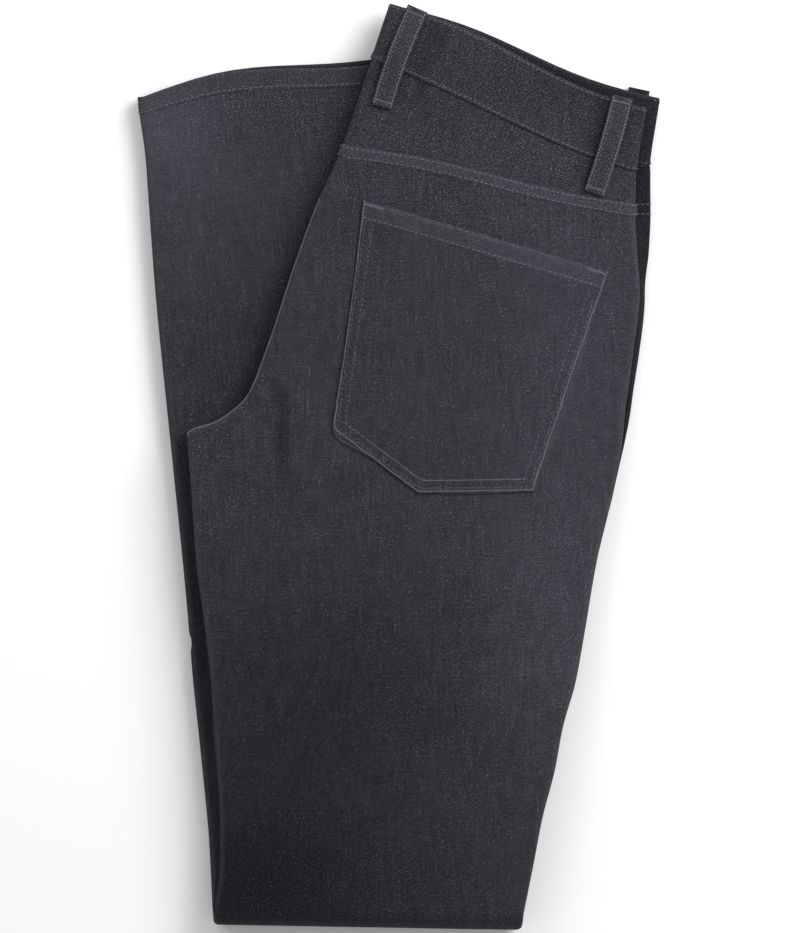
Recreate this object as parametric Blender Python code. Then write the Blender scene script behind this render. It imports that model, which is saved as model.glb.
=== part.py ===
"""Slim tapered jeans folded for a shelf: the legs are laid together with the back outwards,
and the calves are turned under at the knee. The right leg wraps round the left one.

Lengths are in millimetres until a mesh is made. X runs across the legs, +Y towards the waist
and +Z up from the surface that the fold rests on.

A point of the cloth is found from a row across the leg, a place along that row, and a depth:
0 is the right leg's back and STACK the left leg's back, with the fronts in between.
"""

import math

import bmesh
import bpy
import numpy as np

MM = 0.001
NAME = "folded_slim_jeans"
ORIGIN = (-0.955, -0.36, 0.0)  # the middle of the whole fold's underside, in the rows' coordinates

# The cloth and how high it lies
WALL = 1.4  # one layer of denim, with the air that it holds
GAP = 0.4  # between two pieces
STACK = 13.0  # four layers: the seat, or the thighs
CALF_STACK = 11.0  # the four layers of the calves, which carry the thighs' weight
BETWEEN = 1.1  # air between the calves and the thighs on them
FALL = 100.0  # how far out the seat comes down from the calves to the surface
FOLD_REACH = 10.0  # how far the knee fold stands out past its axis
FOLD_INSIDE = 0.5  # the same for the innermost layer

# The rolled edges of a flattened leg, and of the centre back where two backs meet
TUBE = STACK / 2 - GAP / 2  # a flattened leg's thickness
ROLL = 3.5  # how far in from its edge a leg is level
ROLL_ARC = 3.3  # mean radius of that edge, for lengths along the cloth
WRAP = 125.0  # degrees that a back panel runs round the edge before its seam
SEAT_ROLL = 5.0  # the same as ROLL at the centre back
SEAT_HALF = STACK / 2 - 0.15  # from the centre back seam up to the outside
BACK_WRAP = 7.2  # how far a back panel runs past the top of the roll at the side, along the cloth

PARTING = 0.25  # the share of a row after the crotch over which the legs come apart
CORE_INSET = 7.0  # how far inside the waistband and the hems the folded fronts end
MIDWAY = STACK / 2 - 0.35  # the depth of the fronts' innermost cloth, under the outside

# Sewn bands
SEAM_RAISE = 0.9  # a felled seam and the waistband stand out from one layer by this
BAND_INSIDE = 2.0  # the waistband's depth under the plane of one layer
HEM_RAISE = 0.6
HEM_INSIDE = 1.5
CENTRE_FRONT = 9.0  # from the centre back fold in to the centre front
POCKET_WALL = 1.3
POCKET_HEM = 10.0
POCKET_HEM_RAISE = 0.6
PATCH_GAP = 0.7  # between a patch and the layer that it is sewn to
LIFT_MARGIN = 12.0  # round a patch underneath, the layers above are lifted in full
LIFT_SPREAD = 30.0  # and come down again over this

# Belt loops
LOOP_WIDTH = 12.3
LOOP_WALL = 1.7
LOOP_BULGE = 2.2  # room for a belt under the loop's middle

RIGHT, LEFT = "right", "left"
JOINED, STRIP, LOBES = "joined", "strip", "lobes"


class Rows:
    """A table with a row for each section, read between its rows along a curve that keeps to them."""

    def __init__(self, columns, rows):
        self.order = [row[0] for row in rows]
        self.values = {
            name: np.array([row[1 + i] for row in rows], float) for i, name in enumerate(columns)
        }
        self.last = len(rows) - 1

    def at(self, column, p):
        v = self.values[column]
        i = min(max(int(math.floor(p)), 0), self.last - 1)
        t = p - i
        rise = v[i + 1] - v[i]
        start, end = self.slope(v, i), self.slope(v, i + 1)
        return v[i] + t * start + t * t * (3 * rise - 2 * start - end) + t**3 * (start + end - 2 * rise)

    def slope(self, v, i):
        if i == 0:
            return v[1] - v[0]
        if i == self.last:
            return v[-1] - v[-2]
        before, after = v[i] - v[i - 1], v[i + 1] - v[i]
        return 2 * before * after / (before + after) if before * after > 0 else 0.0

    def index(self, name):
        return float(self.order.index(name))

    def line(self, p):
        left = np.array([self.at("left_x", p), self.at("left_y", p)])
        right = np.array([self.at("right_x", p), self.at("right_y", p)])
        return left, right

    def past(self, name, distance):
        """The row position that lies this far after a named row, or before it if negative."""
        i = self.order.index(name)
        j = i + (1 if distance > 0 else -1)
        here, there = np.mean(self.line(i), axis=0), np.mean(self.line(j), axis=0)
        return i + (j - i) * abs(distance) / float(np.linalg.norm(there - here))


# Rows of the seat and thighs, from the waist to the knee. left and right are the ends of the
# right leg's row; bow lifts its middle and swing its first half. The left leg lies below and
# reaches further: lower_left and lower_right along the row, lower_rise at its right end.
# wrap is how far its back panel runs round the side edge.
THIGH = Rows(
    "left_x left_y right_x right_y bow swing lower_left lower_right lower_rise wrap".split(),
    [
        ("waist_top", -5.5, 266.5, 141.5, 207.0, 0.0, 2.7, 0.0, 9.2, 9.0, 18.4),
        ("waist_seam", -16.5, 234.0, 136.0, 170.5, -2.0, 1.2, 0.0, 9.2, 6.5, 18.4),
        ("yoke_seam", -33.0, 186.0, 135.5, 152.0, 0.8, 1.5, 0.0, 9.2, 2.6, 18.4),
        ("yoke_band", -36.0, 178.0, 135.5, 143.5, 0.8, 1.5, 0.0, 9.2, 2.0, 18.4),
        ("seat_high", -48.5, 150.5, 136.5, 124.0, 0.5, 0.8, 0.0, 7.2, 0.5, 16.4),
        ("seat_wide", -62.5, 112.0, 138.0, 100.0, 0.0, 0.0, 0.0, 3.5, 0.0, 14.0),
        ("seat_mid", -76.5, 70.0, 134.5, 67.0, 0.0, 0.0, 0.0, 3.6, 0.0, 12.0),
        ("seat_low", -89.5, 39.5, 130.5, 38.5, 0.0, 0.0, 0.0, 3.5, 0.0, 10.0),
        ("rise_end", -107.0, 26.0, 129.0, 25.0, 0.0, 0.0, 0.0, 2.9, 0.0, 9.0),
        ("crotch", -123.0, 19.5, 128.0, 14.5, 0.0, 0.0, 0.0, 1.7, 0.0, 8.0),
        ("thigh_high", -120.5, -13.5, 123.0, -13.5, 0.0, 0.0, 0.0, 0.3, 0.0, 7.2),
        ("thigh_mid", -117.5, -55.5, 113.0, -55.5, 0.0, 0.0, 0.0, 0.0, 0.0, 7.2),
        ("thigh_low", -112.5, -93.5, 106.5, -93.5, 0.0, 0.0, 0.0, 0.0, 0.0, 7.2),
        ("knee_high", -109.0, -125.5, 100.5, -125.5, 0.0, 0.0, 0.0, 0.0, 0.0, 7.2),
        ("knee_step", -107.5, -150.5, 93.5, -150.5, 0.0, 0.0, 0.3, 0.0, 0.0, 7.2),
        ("knee_in", -105.5, -174.5, 89.0, -174.5, 0.0, 0.0, 2.0, 0.0, 0.0, 7.2),
        ("knee_mid", -104.0, -203.5, 81.5, -203.5, 0.0, 0.0, 3.5, 0.0, 0.0, 7.2),
        ("knee_low", -104.0, -229.5, 76.5, -229.5, 0.0, 0.0, 2.9, 0.0, 0.0, 7.2),
        ("knee", -107.0, -254.0, 71.0, -257.0, 0.0, 0.0, 0.9, 0.0, 0.0, 7.2),
    ],
)

# Rows of the calves, from the knee back up to the hem. left and right are the ends of the left
# leg's row, which lies on top here. The right leg's starts under_left further in, and its right
# end lies under_rise further up.
CALF = Rows(
    "left_x left_y right_x right_y bow swing under_left under_rise".split(),
    [
        ("knee", -108.5, -254.5, 68.5, -257.5, 0.0, 0.0, 0.0, 0.0),
        ("calf_low", -110.5, -215.0, 64.5, -219.5, 0.0, 0.0, 0.6, 0.0),
        ("calf_full", -115.5, -163.0, 58.5, -168.0, 0.0, 0.0, 1.2, 0.0),
        ("crease", -120.0, -120.0, 53.5, -125.0, 0.0, 0.0, 1.6, 0.0),
        ("calf_mid", -123.0, -82.5, 49.5, -88.5, 0.0, 0.0, 1.6, 0.0),
        ("calf_high", -131.0, -2.0, 40.0, -3.0, 0.0, 0.0, 1.6, 0.0),
        ("ankle_low", -141.5, 101.5, 27.0, 107.5, 1.0, 0.5, 1.6, 1.0),
        ("ankle", -147.5, 182.0, 17.5, 193.5, 3.5, 1.8, 1.4, 3.0),
        ("hem_seam", -150.5, 202.5, 14.0, 223.5, 4.6, 2.5, 1.2, 4.0),
        ("hem_end", -151.5, 213.0, 12.5, 235.0, 5.4, 2.9, 1.2, 4.0),
    ],
)

# The back pocket's rows, from its opening to its base
POCKET = Rows(
    "left_x left_y right_x right_y bow".split(),
    [
        ("opening", -21.5, 153.0, 120.0, 112.0, 0.6),
        ("upper", -24.5, 121.0, 113.0, 89.0, 0.0),
        ("middle", -29.0, 87.0, 105.5, 62.5, 0.0),
        ("lower", -34.0, 52.5, 97.5, 38.5, 0.0),
        ("corner", -39.5, 21.5, 90.5, 15.5, 0.0),
        ("slope", -14.0, 3.0, 83.5, 1.0, 0.0),
        ("base", 10.0, -15.5, 76.5, -14.5, -0.6),
    ],
)

# Belt loops on the right back: the ends of the middle line, and how far each end's inside
# stands off the plane of one layer
LOOPS = {
    "belt_loop_centre_back": dict(top=(10.0, 263.5), end=(-11.0, 206.5), top_off=1.6, end_off=0.8),
    "belt_loop_right_side": dict(top=(128.0, 213.0), end=(111.5, 157.0), top_off=1.6, end_off=1.6),
}
# The left side's loop is under the fold
UNDER_LOOP = dict(top=(138.0, 218.0), end=(126.5, 165.0))

DENIM = (0.040, 0.041, 0.050)
DENIM_EDGE = (0.052, 0.053, 0.064)


def smoothstep(t):
    t = min(max(t, 0.0), 1.0)
    return t * t * (3 - 2 * t)


def outside(corners, x, y):
    """How far a point lies outside a convex outline whose corners run clockwise."""
    far = 0.0
    for (ax, ay), (bx, by) in zip(corners, corners[1:] + corners[:1]):
        run = math.hypot(bx - ax, by - ay)
        far = max(far, ((x - ax) * (ay - by) + (y - ay) * (bx - ax)) / run)
    return far


def beyond_calves(x, y):
    """How far a point lies past the calves' hidden side or past their hem."""
    knee, hem = CALF.line(0)[1], CALF.line(CALF.last)
    side = hem[1] - knee
    past_side = max(((x - knee[0]) * side[1] - (y - knee[1]) * side[0]) / np.linalg.norm(side), 0)
    end = hem[1] - hem[0]
    past_hem = max(((y - hem[0][1]) * end[0] - (x - hem[0][0]) * end[1]) / np.linalg.norm(end), 0)
    return math.hypot(past_side, past_hem)


def corners_of(rows):
    """A patch's outline, clockwise, from its table."""
    left = [tuple(rows.line(i)[0]) for i in (rows.last, rows.index("corner"), 0)]
    return left + [tuple(rows.line(i)[1]) for i in (0, rows.last)]


def strip_corners(top, end, width):
    """The outline of a straight strip, clockwise."""
    top, end = np.array(top), np.array(end)
    along = (end - top) / np.linalg.norm(end - top)
    side = np.array([-along[1], along[0]]) * width / 2
    return [tuple(p) for p in (end - side, top - side, top + side, end + side)]


PATCHES = (
    (corners_of(POCKET), POCKET_WALL + PATCH_GAP),
    (strip_corners(UNDER_LOOP["top"], UNDER_LOOP["end"], LOOP_WIDTH), LOOP_WALL + PATCH_GAP),
)


def lie(x, y):
    """Height of the seat and thighs' underside, were nothing sewn to it."""
    return (CALF_STACK + BETWEEN) * (1 - smoothstep(beyond_calves(x, y) / FALL))


def lift(x, y):
    """How far what is sewn on underneath lifts the layer above it."""
    highest = 0.0
    for corners, height in PATCHES:
        away = outside(corners, x, y) - LIFT_MARGIN
        highest = max(highest, height * (1 - smoothstep(away / LIFT_SPREAD)))
    return highest


def thigh_height(x, y, depth):
    up = lift(x, y)
    return lie(x, y) + up + (STACK - depth) * (STACK - up) / STACK


def place(station, x, y, depth):
    """The point in space for a place on the plan and a depth in the stack."""
    kind, p = station
    calf = depth * CALF_STACK / STACK
    if kind == "calf":
        return (x, y, calf)
    thigh = thigh_height(x, y, depth)
    if kind == "thigh":
        return (x, y, thigh)
    middle = CALF_STACK + BETWEEN / 2
    reach = FOLD_INSIDE + (FOLD_REACH - FOLD_INSIDE) * (1 - depth / STACK)
    swing = math.cos(p)
    z = middle + swing * (thigh - middle if swing > 0 else middle - calf)
    return (x, y - reach * math.sin(p), z)


def leg_line(leg, station):
    """The ends of a leg's row on the plan."""
    kind, p = station
    if kind == "fold":
        share = p / math.pi
        above = leg_line(leg, ("thigh", THIGH.last))
        below = leg_line(leg, ("calf", 0))
        return [a * (1 - share) + b * share for a, b in zip(above, below)]
    rows = THIGH if kind == "thigh" else CALF
    left, right = rows.line(p)
    along = (right - left) / np.linalg.norm(right - left)
    if kind == "thigh" and leg == LEFT:
        left = left - along * rows.at("lower_left", p)
        right = right + along * rows.at("lower_right", p) + (0, rows.at("lower_rise", p))
    if kind == "calf" and leg == RIGHT:
        left = left + along * rows.at("under_left", p)
        right = right + (0, rows.at("under_rise", p))
    return [left, right]


def inward(leg, station):
    """Unit directions on the plan from the two ends of a row into the cloth."""
    kind, p = station
    if kind == "fold":
        return [np.array([1.0, 0.0]), np.array([-1.0, 0.0])]
    last = (THIGH if kind == "thigh" else CALF).last
    low, high = max(p - 0.4, 0), min(p + 0.4, last)
    before, after = leg_line(leg, (kind, low)), leg_line(leg, (kind, high))
    turn = 1 if kind == "thigh" else -1
    ways = []
    for a, b, side in zip(before, after, (turn, -turn)):
        run = (b - a) / np.linalg.norm(b - a)
        ways.append(side * np.array([-run[1], run[0]]))
    return ways


def seat_share(station):
    """1 where the two backs meet at the centre back, 0 where the legs are apart."""
    kind, p = station
    crotch = THIGH.index("crotch")
    return 1 - smoothstep((p - crotch) / PARTING) if kind == "thigh" else 0.0


class Section:
    """One row across a leg. It gives points of the cloth for a place along it and a thickness.

    A place is ("left_edge", degrees round the roll), ("flat", share), ("side", length round the
    roll), ("under", share) on the leg's far side, or ("under_left", length in from the edge).
    The thickness runs inwards from the plane of the outside.
    """

    def __init__(self, leg, station):
        self.leg, self.station = leg, station
        self.left, self.right = leg_line(leg, station)
        self.left_in, self.right_in = inward(leg, station)
        seat = seat_share(station)
        self.seat = seat
        self.roll = ROLL + seat * (SEAT_ROLL - ROLL)
        self.half = TUBE / 2 + seat * (SEAT_HALF - TUBE / 2)
        self.wrap = WRAP + seat * (90 - WRAP)
        kind, p = station
        rows = THIGH if kind == "thigh" else CALF
        self.bow, self.swing = (0, 0) if kind == "fold" else (rows.at("bow", p), rows.at("swing", p))
        under = kind == "thigh" and leg == LEFT
        self.side_wrap = THIGH.at("wrap", p) if under else BACK_WRAP

    def point(self, where, value, thick):
        plan, deep = getattr(self, where)(value, thick)
        depth = deep if self.leg == RIGHT else STACK - deep
        return place(self.station, plan[0], plan[1], depth)

    def flat(self, share, thick):
        start = self.left + self.left_in * self.roll
        end = self.right + self.right_in * ROLL
        plan = start * (1 - share) + end * share
        rise = self.bow * 4 * share * (1 - share) + self.swing * math.sin(2 * math.pi * share)
        return plan + (0, rise), thick

    def under(self, share, thick):
        return self.flat(share, 0)[0], TUBE - thick

    def left_edge(self, degrees, thick):
        turn = math.radians(degrees)
        inset = self.roll - (self.roll - thick) * math.sin(turn)
        return self.left + self.left_in * inset, self.half - (self.half - thick) * math.cos(turn)

    def under_left(self, inset, thick):
        return self.left + self.left_in * inset, TUBE - thick

    def side(self, length, thick):
        turn = length / ROLL_ARC
        half = TUBE / 2
        if turn > math.pi:
            inset = ROLL + length - math.pi * ROLL_ARC
            return self.right + self.right_in * inset, TUBE - thick
        inset = ROLL - (ROLL - thick) * math.sin(turn)
        return self.right + self.right_in * inset, half - (half - thick) * math.cos(turn)

    def core(self, edge, length, deep):
        """A point of the stack's core: in from one edge at a depth of its own."""
        if edge == "left":
            return self.left + self.left_in * length, deep
        return self.right + self.right_in * length, deep


def vertices(bm, points):
    return [bm.verts.new((np.array(point) - ORIGIN) * MM) for point in points]


def loft(rings, ends, middles=()):
    """A body through rings of equal counts. ends is JOINED where the last ring meets the first,
    STRIP for a wall's thin ends, or LOBES for the folded fronts, whose ends have middle rows."""
    bm = bmesh.new()
    skin = [vertices(bm, ring) for ring in rings]
    count = len(skin[0])
    pairs = list(zip(skin, skin[1:]))
    if ends == JOINED:
        pairs.append((skin[-1], skin[0]))
    for a, b in pairs:
        for i in range(count):
            j = (i + 1) % count
            bm.faces.new((a[i], a[j], b[j], b[i]))
    if ends == STRIP:
        for ring in (skin[0], skin[-1]):
            for i in range(count // 2 - 1):
                bm.faces.new((ring[i], ring[i + 1], ring[count - 2 - i], ring[count - 1 - i]))
    if ends == LOBES:
        for ring, rows in zip((skin[0], skin[-1]), middles):
            close_lobes(bm, ring, [vertices(bm, row) for row in rows])
    bmesh.ops.recalc_face_normals(bm, faces=bm.faces)
    bmesh.ops.triangulate(bm, faces=bm.faces, quad_method="SHORT_EDGE")
    return bm


def close_lobes(bm, ring, rows):
    """Closes an end of the folded fronts. Each leg's half has a strip from its flat row to its
    middle row and a fan in each rolled edge, and a strip joins the two middle rows."""
    half = len(ring) // 2
    first, last = EDGE_POINTS, EDGE_POINTS + len(FLAT_PLACES) - 1
    middles = []
    for side, row in zip((ring[:half], ring[half:][::-1]), rows):
        for i in range(first - 1):
            bm.faces.new((side[first], side[i], side[i + 1]))
        for i in range(last + 1, half - 1):
            bm.faces.new((side[last], side[i], side[i + 1]))
        middle = [side[0], *row, side[-1]]
        middles.append(middle)
        for i, (a, b) in enumerate(zip(middle, middle[1:])):
            bm.faces.new((side[first + i], side[first + i + 1], b, a))
    upper, lower = middles
    for i in range(len(upper) - 1):
        bm.faces.new((upper[i], upper[i + 1], lower[i + 1], lower[i]))


def add_piece(name, bm, colour, collection):
    mesh = bpy.data.meshes.new(name)
    bm.to_mesh(mesh)
    bm.free()
    mesh.shade_smooth()
    mesh.set_sharp_from_angle(angle=math.radians(40))
    material = bpy.data.materials.new(name)
    material.use_nodes = True
    shader = material.node_tree.nodes["Principled BSDF"]
    shader.inputs["Base Color"].default_value = (*colour, 1)
    shader.inputs["Roughness"].default_value = 0.95
    shader.inputs["Metallic"].default_value = 0.0
    mesh.materials.append(material)
    piece = bpy.data.objects.new(name, mesh)
    collection.objects.link(piece)
    return piece


FLAT_PLACES = [("flat", float(share)) for share in np.linspace(0.06, 0.94, 9)]
EDGE_POINTS = 8  # points of a half ring of the folded fronts that lie round its left edge
CORE_START = THIGH.past("waist_seam", CORE_INSET)
YOKE_ROWS = [CORE_START, *(THIGH.index("waist_seam") + share for share in (0.47, 0.73))]


def back_places(section):
    """The places across a back panel, from its centre or inside seam to its side seam."""
    left = [("left_edge", section.wrap * share) for share in (1, 0.75, 0.5, 0.25, 0)]
    right = [("side", section.side_wrap * share) for share in (0, 0.16, 0.34, 0.54, 0.76, 1)]
    return left + FLAT_PLACES + right


def wall_ring(section, raised):
    """One ring of a back panel's wall: along its outside and back along its inside."""
    places = back_places(section)
    outer = [section.point(where, value, -raised) for where, value in places]
    inner = [section.point(where, value, WALL) for where, value in places]
    return outer + inner[::-1]


def fold_stations():
    return [("fold", math.radians(a)) for a in (14, 36, 60, 90, 120, 144, 166)]


def leg_stations(first, before_hem):
    """Rows down a leg from a thigh row position, round the knee and up to the hem's seam."""
    thigh = [("thigh", first)]
    rows = YOKE_ROWS + list(range(int(THIGH.index("yoke_seam")), THIGH.last + 1))
    rows = sorted(rows + [THIGH.index("crotch") + PARTING])
    thigh += [("thigh", float(p)) for p in rows if p > first + 0.1]
    calf = [("calf", float(i)) for i in range(int(CALF.index("hem_seam")))]
    calf += [("calf", CALF.past("hem_seam", -far)) for far in (CORE_INSET, GAP) if far >= before_hem]
    return thigh + fold_stations() + calf


def back_panel(leg):
    """A leg's back from the yoke, round the knee fold, to the hem. On the right leg the felled
    yoke seam stands out along its top."""
    top = THIGH.past("yoke_seam", GAP / 2)
    band = THIGH.index("yoke_band")
    rings = []
    for station in leg_stations(top, GAP):
        section = Section(leg, station)
        on_band = leg == RIGHT and station[0] == "thigh" and station[1] <= band
        rings.append(wall_ring(section, SEAM_RAISE if on_band else 0))
        if on_band and station[1] == band:
            rings.append(wall_ring(Section(leg, ("thigh", band + 0.02)), 0))
    return loft(rings, STRIP)


def yoke(leg):
    first, last = THIGH.past("waist_seam", GAP / 2), THIGH.past("yoke_seam", -GAP / 2)
    rows = [first, *YOKE_ROWS, last]
    return loft([wall_ring(Section(leg, ("thigh", p)), 0) for p in rows], STRIP)


def core_half(section):
    """Half the ring of the folded fronts: under one back panel from edge to edge, with the
    front's own rolled edges showing past the back's."""
    under = WALL + GAP
    kind, p = section.station
    above = kind == "thigh" and p < THIGH.index("thigh_high")
    shown = under if above else 0
    if section.seat:
        degrees, crease = (88, 80, 72, 64, 48, 24, 0), under + 0.2
    else:
        degrees, crease = (178, 152, 131, 131, 90, 45, 0), 6.0
    thicks = [shown] * 3 + [under] * 4
    points = [section.core("left", crease, MIDWAY)]
    points += [section.left_edge(angle, thick) for angle, thick in zip(degrees, thicks)]
    points += [section.flat(share, under) for _, share in FLAT_PLACES]
    end = section.side_wrap
    last = max(math.pi * ROLL_ARC * 0.99, end + 2.4)
    step = end + GAP
    points += [section.side(step * share, under) for share in (0, 0.34, 0.67, 1)]
    points += [section.side(length, 0) for length in (step, (step + last) / 2, last)]
    past = last - math.pi * ROLL_ARC
    points.append(section.core("right", ROLL + max(past + 1, 3.5), MIDWAY))
    placed = []
    for plan, deep in points:
        depth = deep if section.leg == RIGHT else STACK - deep
        placed.append(place(section.station, plan[0], plan[1], depth))
    return placed


def folded_fronts():
    """Both legs' fronts, folded inside the backs, as one body that parts at its edges."""
    stations = leg_stations(CORE_START, CORE_INSET)
    rings = []
    for station in stations:
        upper = core_half(Section(RIGHT, station))
        lower = core_half(Section(LEFT, station))
        rings.append(upper + lower[::-1])
    middles = []
    for station in (stations[0], stations[-1]):
        sections = [Section(leg, station) for leg in (RIGHT, LEFT)]
        middles.append([[s.point(*place_, MIDWAY) for place_ in FLAT_PLACES[1:-1]] for s in sections])
    return loft(rings, LOBES, middles)


def hoop(stops, station_at, profile):
    """A sewn band that runs round a flattened opening. stops are pairs of places for its outside
    and inside; profile is its wall's outline as (share of its height, share of its thickness)."""
    rings = []
    for leg, (out_where, out_value, out_thick), (in_where, in_value, in_thick) in stops:
        ring = []
        for high, through in profile:
            section = Section(leg, station_at(high))
            out = np.array(section.point(out_where, out_value, out_thick))
            inn = np.array(section.point(in_where, in_value, in_thick))
            ring.append(out * (1 - through) + inn * through)
        rings.append(ring)
    return loft(rings, JOINED)


BAND_PROFILE = (
    (0.03, 0), (0.5, 0), (0.97, 0), (1, 0.25), (1, 0.75),
    (0.97, 1), (0.5, 1), (0.03, 1), (0, 0.75), (0, 0.25),
)  # fmt: skip


def waistband():
    """The band round the folded waist: right back, centre back fold, left back, and both fronts
    between them, which join at the centre front."""
    loop = []
    for leg, raised in ((RIGHT, SEAM_RAISE), (LEFT, 0.0)):
        half = [
            (leg, ("left_edge", angle, -raised), ("left_edge", angle, BAND_INSIDE))
            for angle in (80, 52, 26, 0)
        ]
        half += [(leg, (*place_, -raised), (*place_, BAND_INSIDE)) for place_ in FLAT_PLACES]
        for angle in (0, 45, 90, 135, 180):
            turn = math.radians(angle)
            out = -raised * (1 + math.cos(turn)) / 2
            length = turn * ROLL_ARC
            half.append((leg, ("side", length, out), ("side", length, BAND_INSIDE)))
        for _, share in FLAT_PLACES[::-1]:
            half.append((leg, ("under", share, 0), ("under", share, BAND_INSIDE)))
        inside = ("under_left", CENTRE_FRONT - 2.5, BAND_INSIDE)
        half.append((leg, ("under_left", CENTRE_FRONT, 0), inside))
        loop += half if leg == RIGHT else half[::-1]
    end = THIGH.past("waist_seam", -GAP / 2)
    return hoop(loop, lambda high: ("thigh", high * end), BAND_PROFILE)


def hem(leg):
    """A leg's hem, a band round its flattened opening."""
    raised = HEM_RAISE if leg == LEFT else 0.0
    loop = [(leg, (*place_, -raised), (*place_, HEM_INSIDE)) for place_ in FLAT_PLACES]
    turns = [(math.radians(angle), angle) for angle in (0, 45, 90, 135, 180)]
    for turn, _ in turns:
        out = -raised * (1 + math.cos(turn)) / 2
        length = turn * ROLL_ARC
        loop.append((leg, ("side", length, out), ("side", length, HEM_INSIDE)))
    loop += [(leg, ("under", s, 0), ("under", s, HEM_INSIDE)) for _, s in FLAT_PLACES[::-1]]
    for turn, angle in turns[::-1]:
        out = -raised * (1 + math.cos(turn)) / 2
        loop.append((leg, ("left_edge", angle, out), ("left_edge", angle, HEM_INSIDE)))
    first, last = CALF.index("hem_seam"), CALF.index("hem_end")
    return hoop(loop, lambda high: ("calf", first + high * (last - first)), BAND_PROFILE)


def pocket_grid():
    """Rows of the pocket's places on the plan, with one more row at its hem's stitching."""
    stops = sorted([POCKET.past("opening", POCKET_HEM), *range(POCKET.last + 1)])
    grid = []
    for p in stops:
        left, right = POCKET.line(p)
        row = []
        for share in (0, 0.02, 0.18, 0.34, 0.5, 0.66, 0.82, 0.98, 1):
            plan = left * (1 - share) + right * share
            row.append((plan[0], plan[1] + POCKET.at("bow", p) * 4 * share * (1 - share)))
        grid.append((p, row))
    return grid


def right_pocket():
    """The patch pocket on the right back, its hem thicker than the rest."""
    rings = []
    hem_end = POCKET.past("opening", POCKET_HEM)
    for p, row in pocket_grid():
        off = PATCH_GAP
        outer_off = off + POCKET_WALL + (POCKET_HEM_RAISE if p <= hem_end else 0)
        outer = [place(("thigh", 0), x, y, -outer_off) for x, y in row]
        inner = [place(("thigh", 0), x, y, -off) for x, y in row]
        rings.append(outer + inner[::-1])
    return loft(rings, STRIP)


def left_pocket():
    """The same pocket on the left back, flat under the fold."""
    rings = []
    for _, row in pocket_grid():
        outer = [(x, y, lie(x, y)) for x, y in row]
        inner = [(x, y, lie(x, y) + POCKET_WALL) for x, y in row]
        rings.append(outer + inner[::-1])
    return loft(rings, STRIP)


def loop_rows(top, end, count):
    """Places across a belt loop, at even steps from its top to its end, with each step's share."""
    top, end = np.array(top), np.array(end)
    along = (end - top) / np.linalg.norm(end - top)
    side = np.array([-along[1], along[0]])
    for share in np.linspace(0, 1, count):
        middle = top * (1 - share) + end * share
        yield share, [middle + side * across for across in np.linspace(-1, 1, 5) * LOOP_WIDTH / 2]


def belt_loop(top, end, top_off, end_off):
    rings = []
    for share, row in loop_rows(top, end, 11):
        bulge = LOOP_BULGE * math.sin(math.pi * share) ** 2
        off = top_off + (end_off - top_off) * smoothstep(share) + bulge
        inner = [place(("thigh", 0), x, y, -off) for x, y in row]
        outer = [place(("thigh", 0), x, y, -off - LOOP_WALL) for x, y in row]
        rings.append(outer + inner[::-1])
    return loft(rings, STRIP)


def under_loop():
    rings = []
    for _, row in loop_rows(**UNDER_LOOP, count=5):
        outer = [(x, y, lie(x, y)) for x, y in row]
        inner = [(x, y, lie(x, y) + LOOP_WALL) for x, y in row]
        rings.append(outer + inner[::-1])
    return loft(rings, STRIP)


def clear_scene():
    for item in list(bpy.data.objects):
        bpy.data.objects.remove(item, do_unlink=True)


def main():
    clear_scene()
    jeans = bpy.data.collections.new(NAME)
    bpy.context.scene.collection.children.link(jeans)
    add_piece("right_back_panel", back_panel(RIGHT), DENIM, jeans)
    add_piece("left_back_panel", back_panel(LEFT), DENIM, jeans)
    add_piece("folded_fronts", folded_fronts(), DENIM, jeans)
    add_piece("right_yoke", yoke(RIGHT), DENIM, jeans)
    add_piece("left_yoke", yoke(LEFT), DENIM, jeans)
    add_piece("waistband", waistband(), DENIM_EDGE, jeans)
    add_piece("right_hem", hem(RIGHT), DENIM_EDGE, jeans)
    add_piece("left_hem", hem(LEFT), DENIM_EDGE, jeans)
    add_piece("right_back_pocket", right_pocket(), DENIM, jeans)
    add_piece("left_back_pocket", left_pocket(), DENIM, jeans)
    for name, loop in LOOPS.items():
        add_piece(name, belt_loop(**loop), DENIM_EDGE, jeans)
    add_piece("belt_loop_left_side", under_loop(), DENIM_EDGE, jeans)


main()
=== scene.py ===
"""Slim jeans folded for a shelf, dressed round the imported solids.

Lengths in the tables are in millimetres, X across the legs, +Y towards the waist, +Z up from the
surface. A place on the cloth is a row across a leg, a place along that row, and a depth in the
stack: 0 is the right leg's back and STACK the left leg's back.
"""

import math

import bmesh
import bpy
import numpy as np
from mathutils import Matrix, Vector, noise
from mathutils.bvhtree import BVHTree


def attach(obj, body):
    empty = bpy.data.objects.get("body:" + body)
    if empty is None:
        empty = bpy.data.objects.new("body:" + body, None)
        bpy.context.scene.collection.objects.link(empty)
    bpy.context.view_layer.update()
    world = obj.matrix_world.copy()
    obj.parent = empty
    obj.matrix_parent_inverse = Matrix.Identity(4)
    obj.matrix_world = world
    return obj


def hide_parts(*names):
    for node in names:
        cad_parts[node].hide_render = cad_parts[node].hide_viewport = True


bl_info = {
    "name": "Folded slim jeans",
    "version": (1, 0, 0),
    "blender": (4, 5, 0),
    "location": "View3D > Sidebar > Jeans",
    "description": "Cloth, seams, stitches and a stage for a pair of folded jeans",
    "category": "Object",
}

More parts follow.
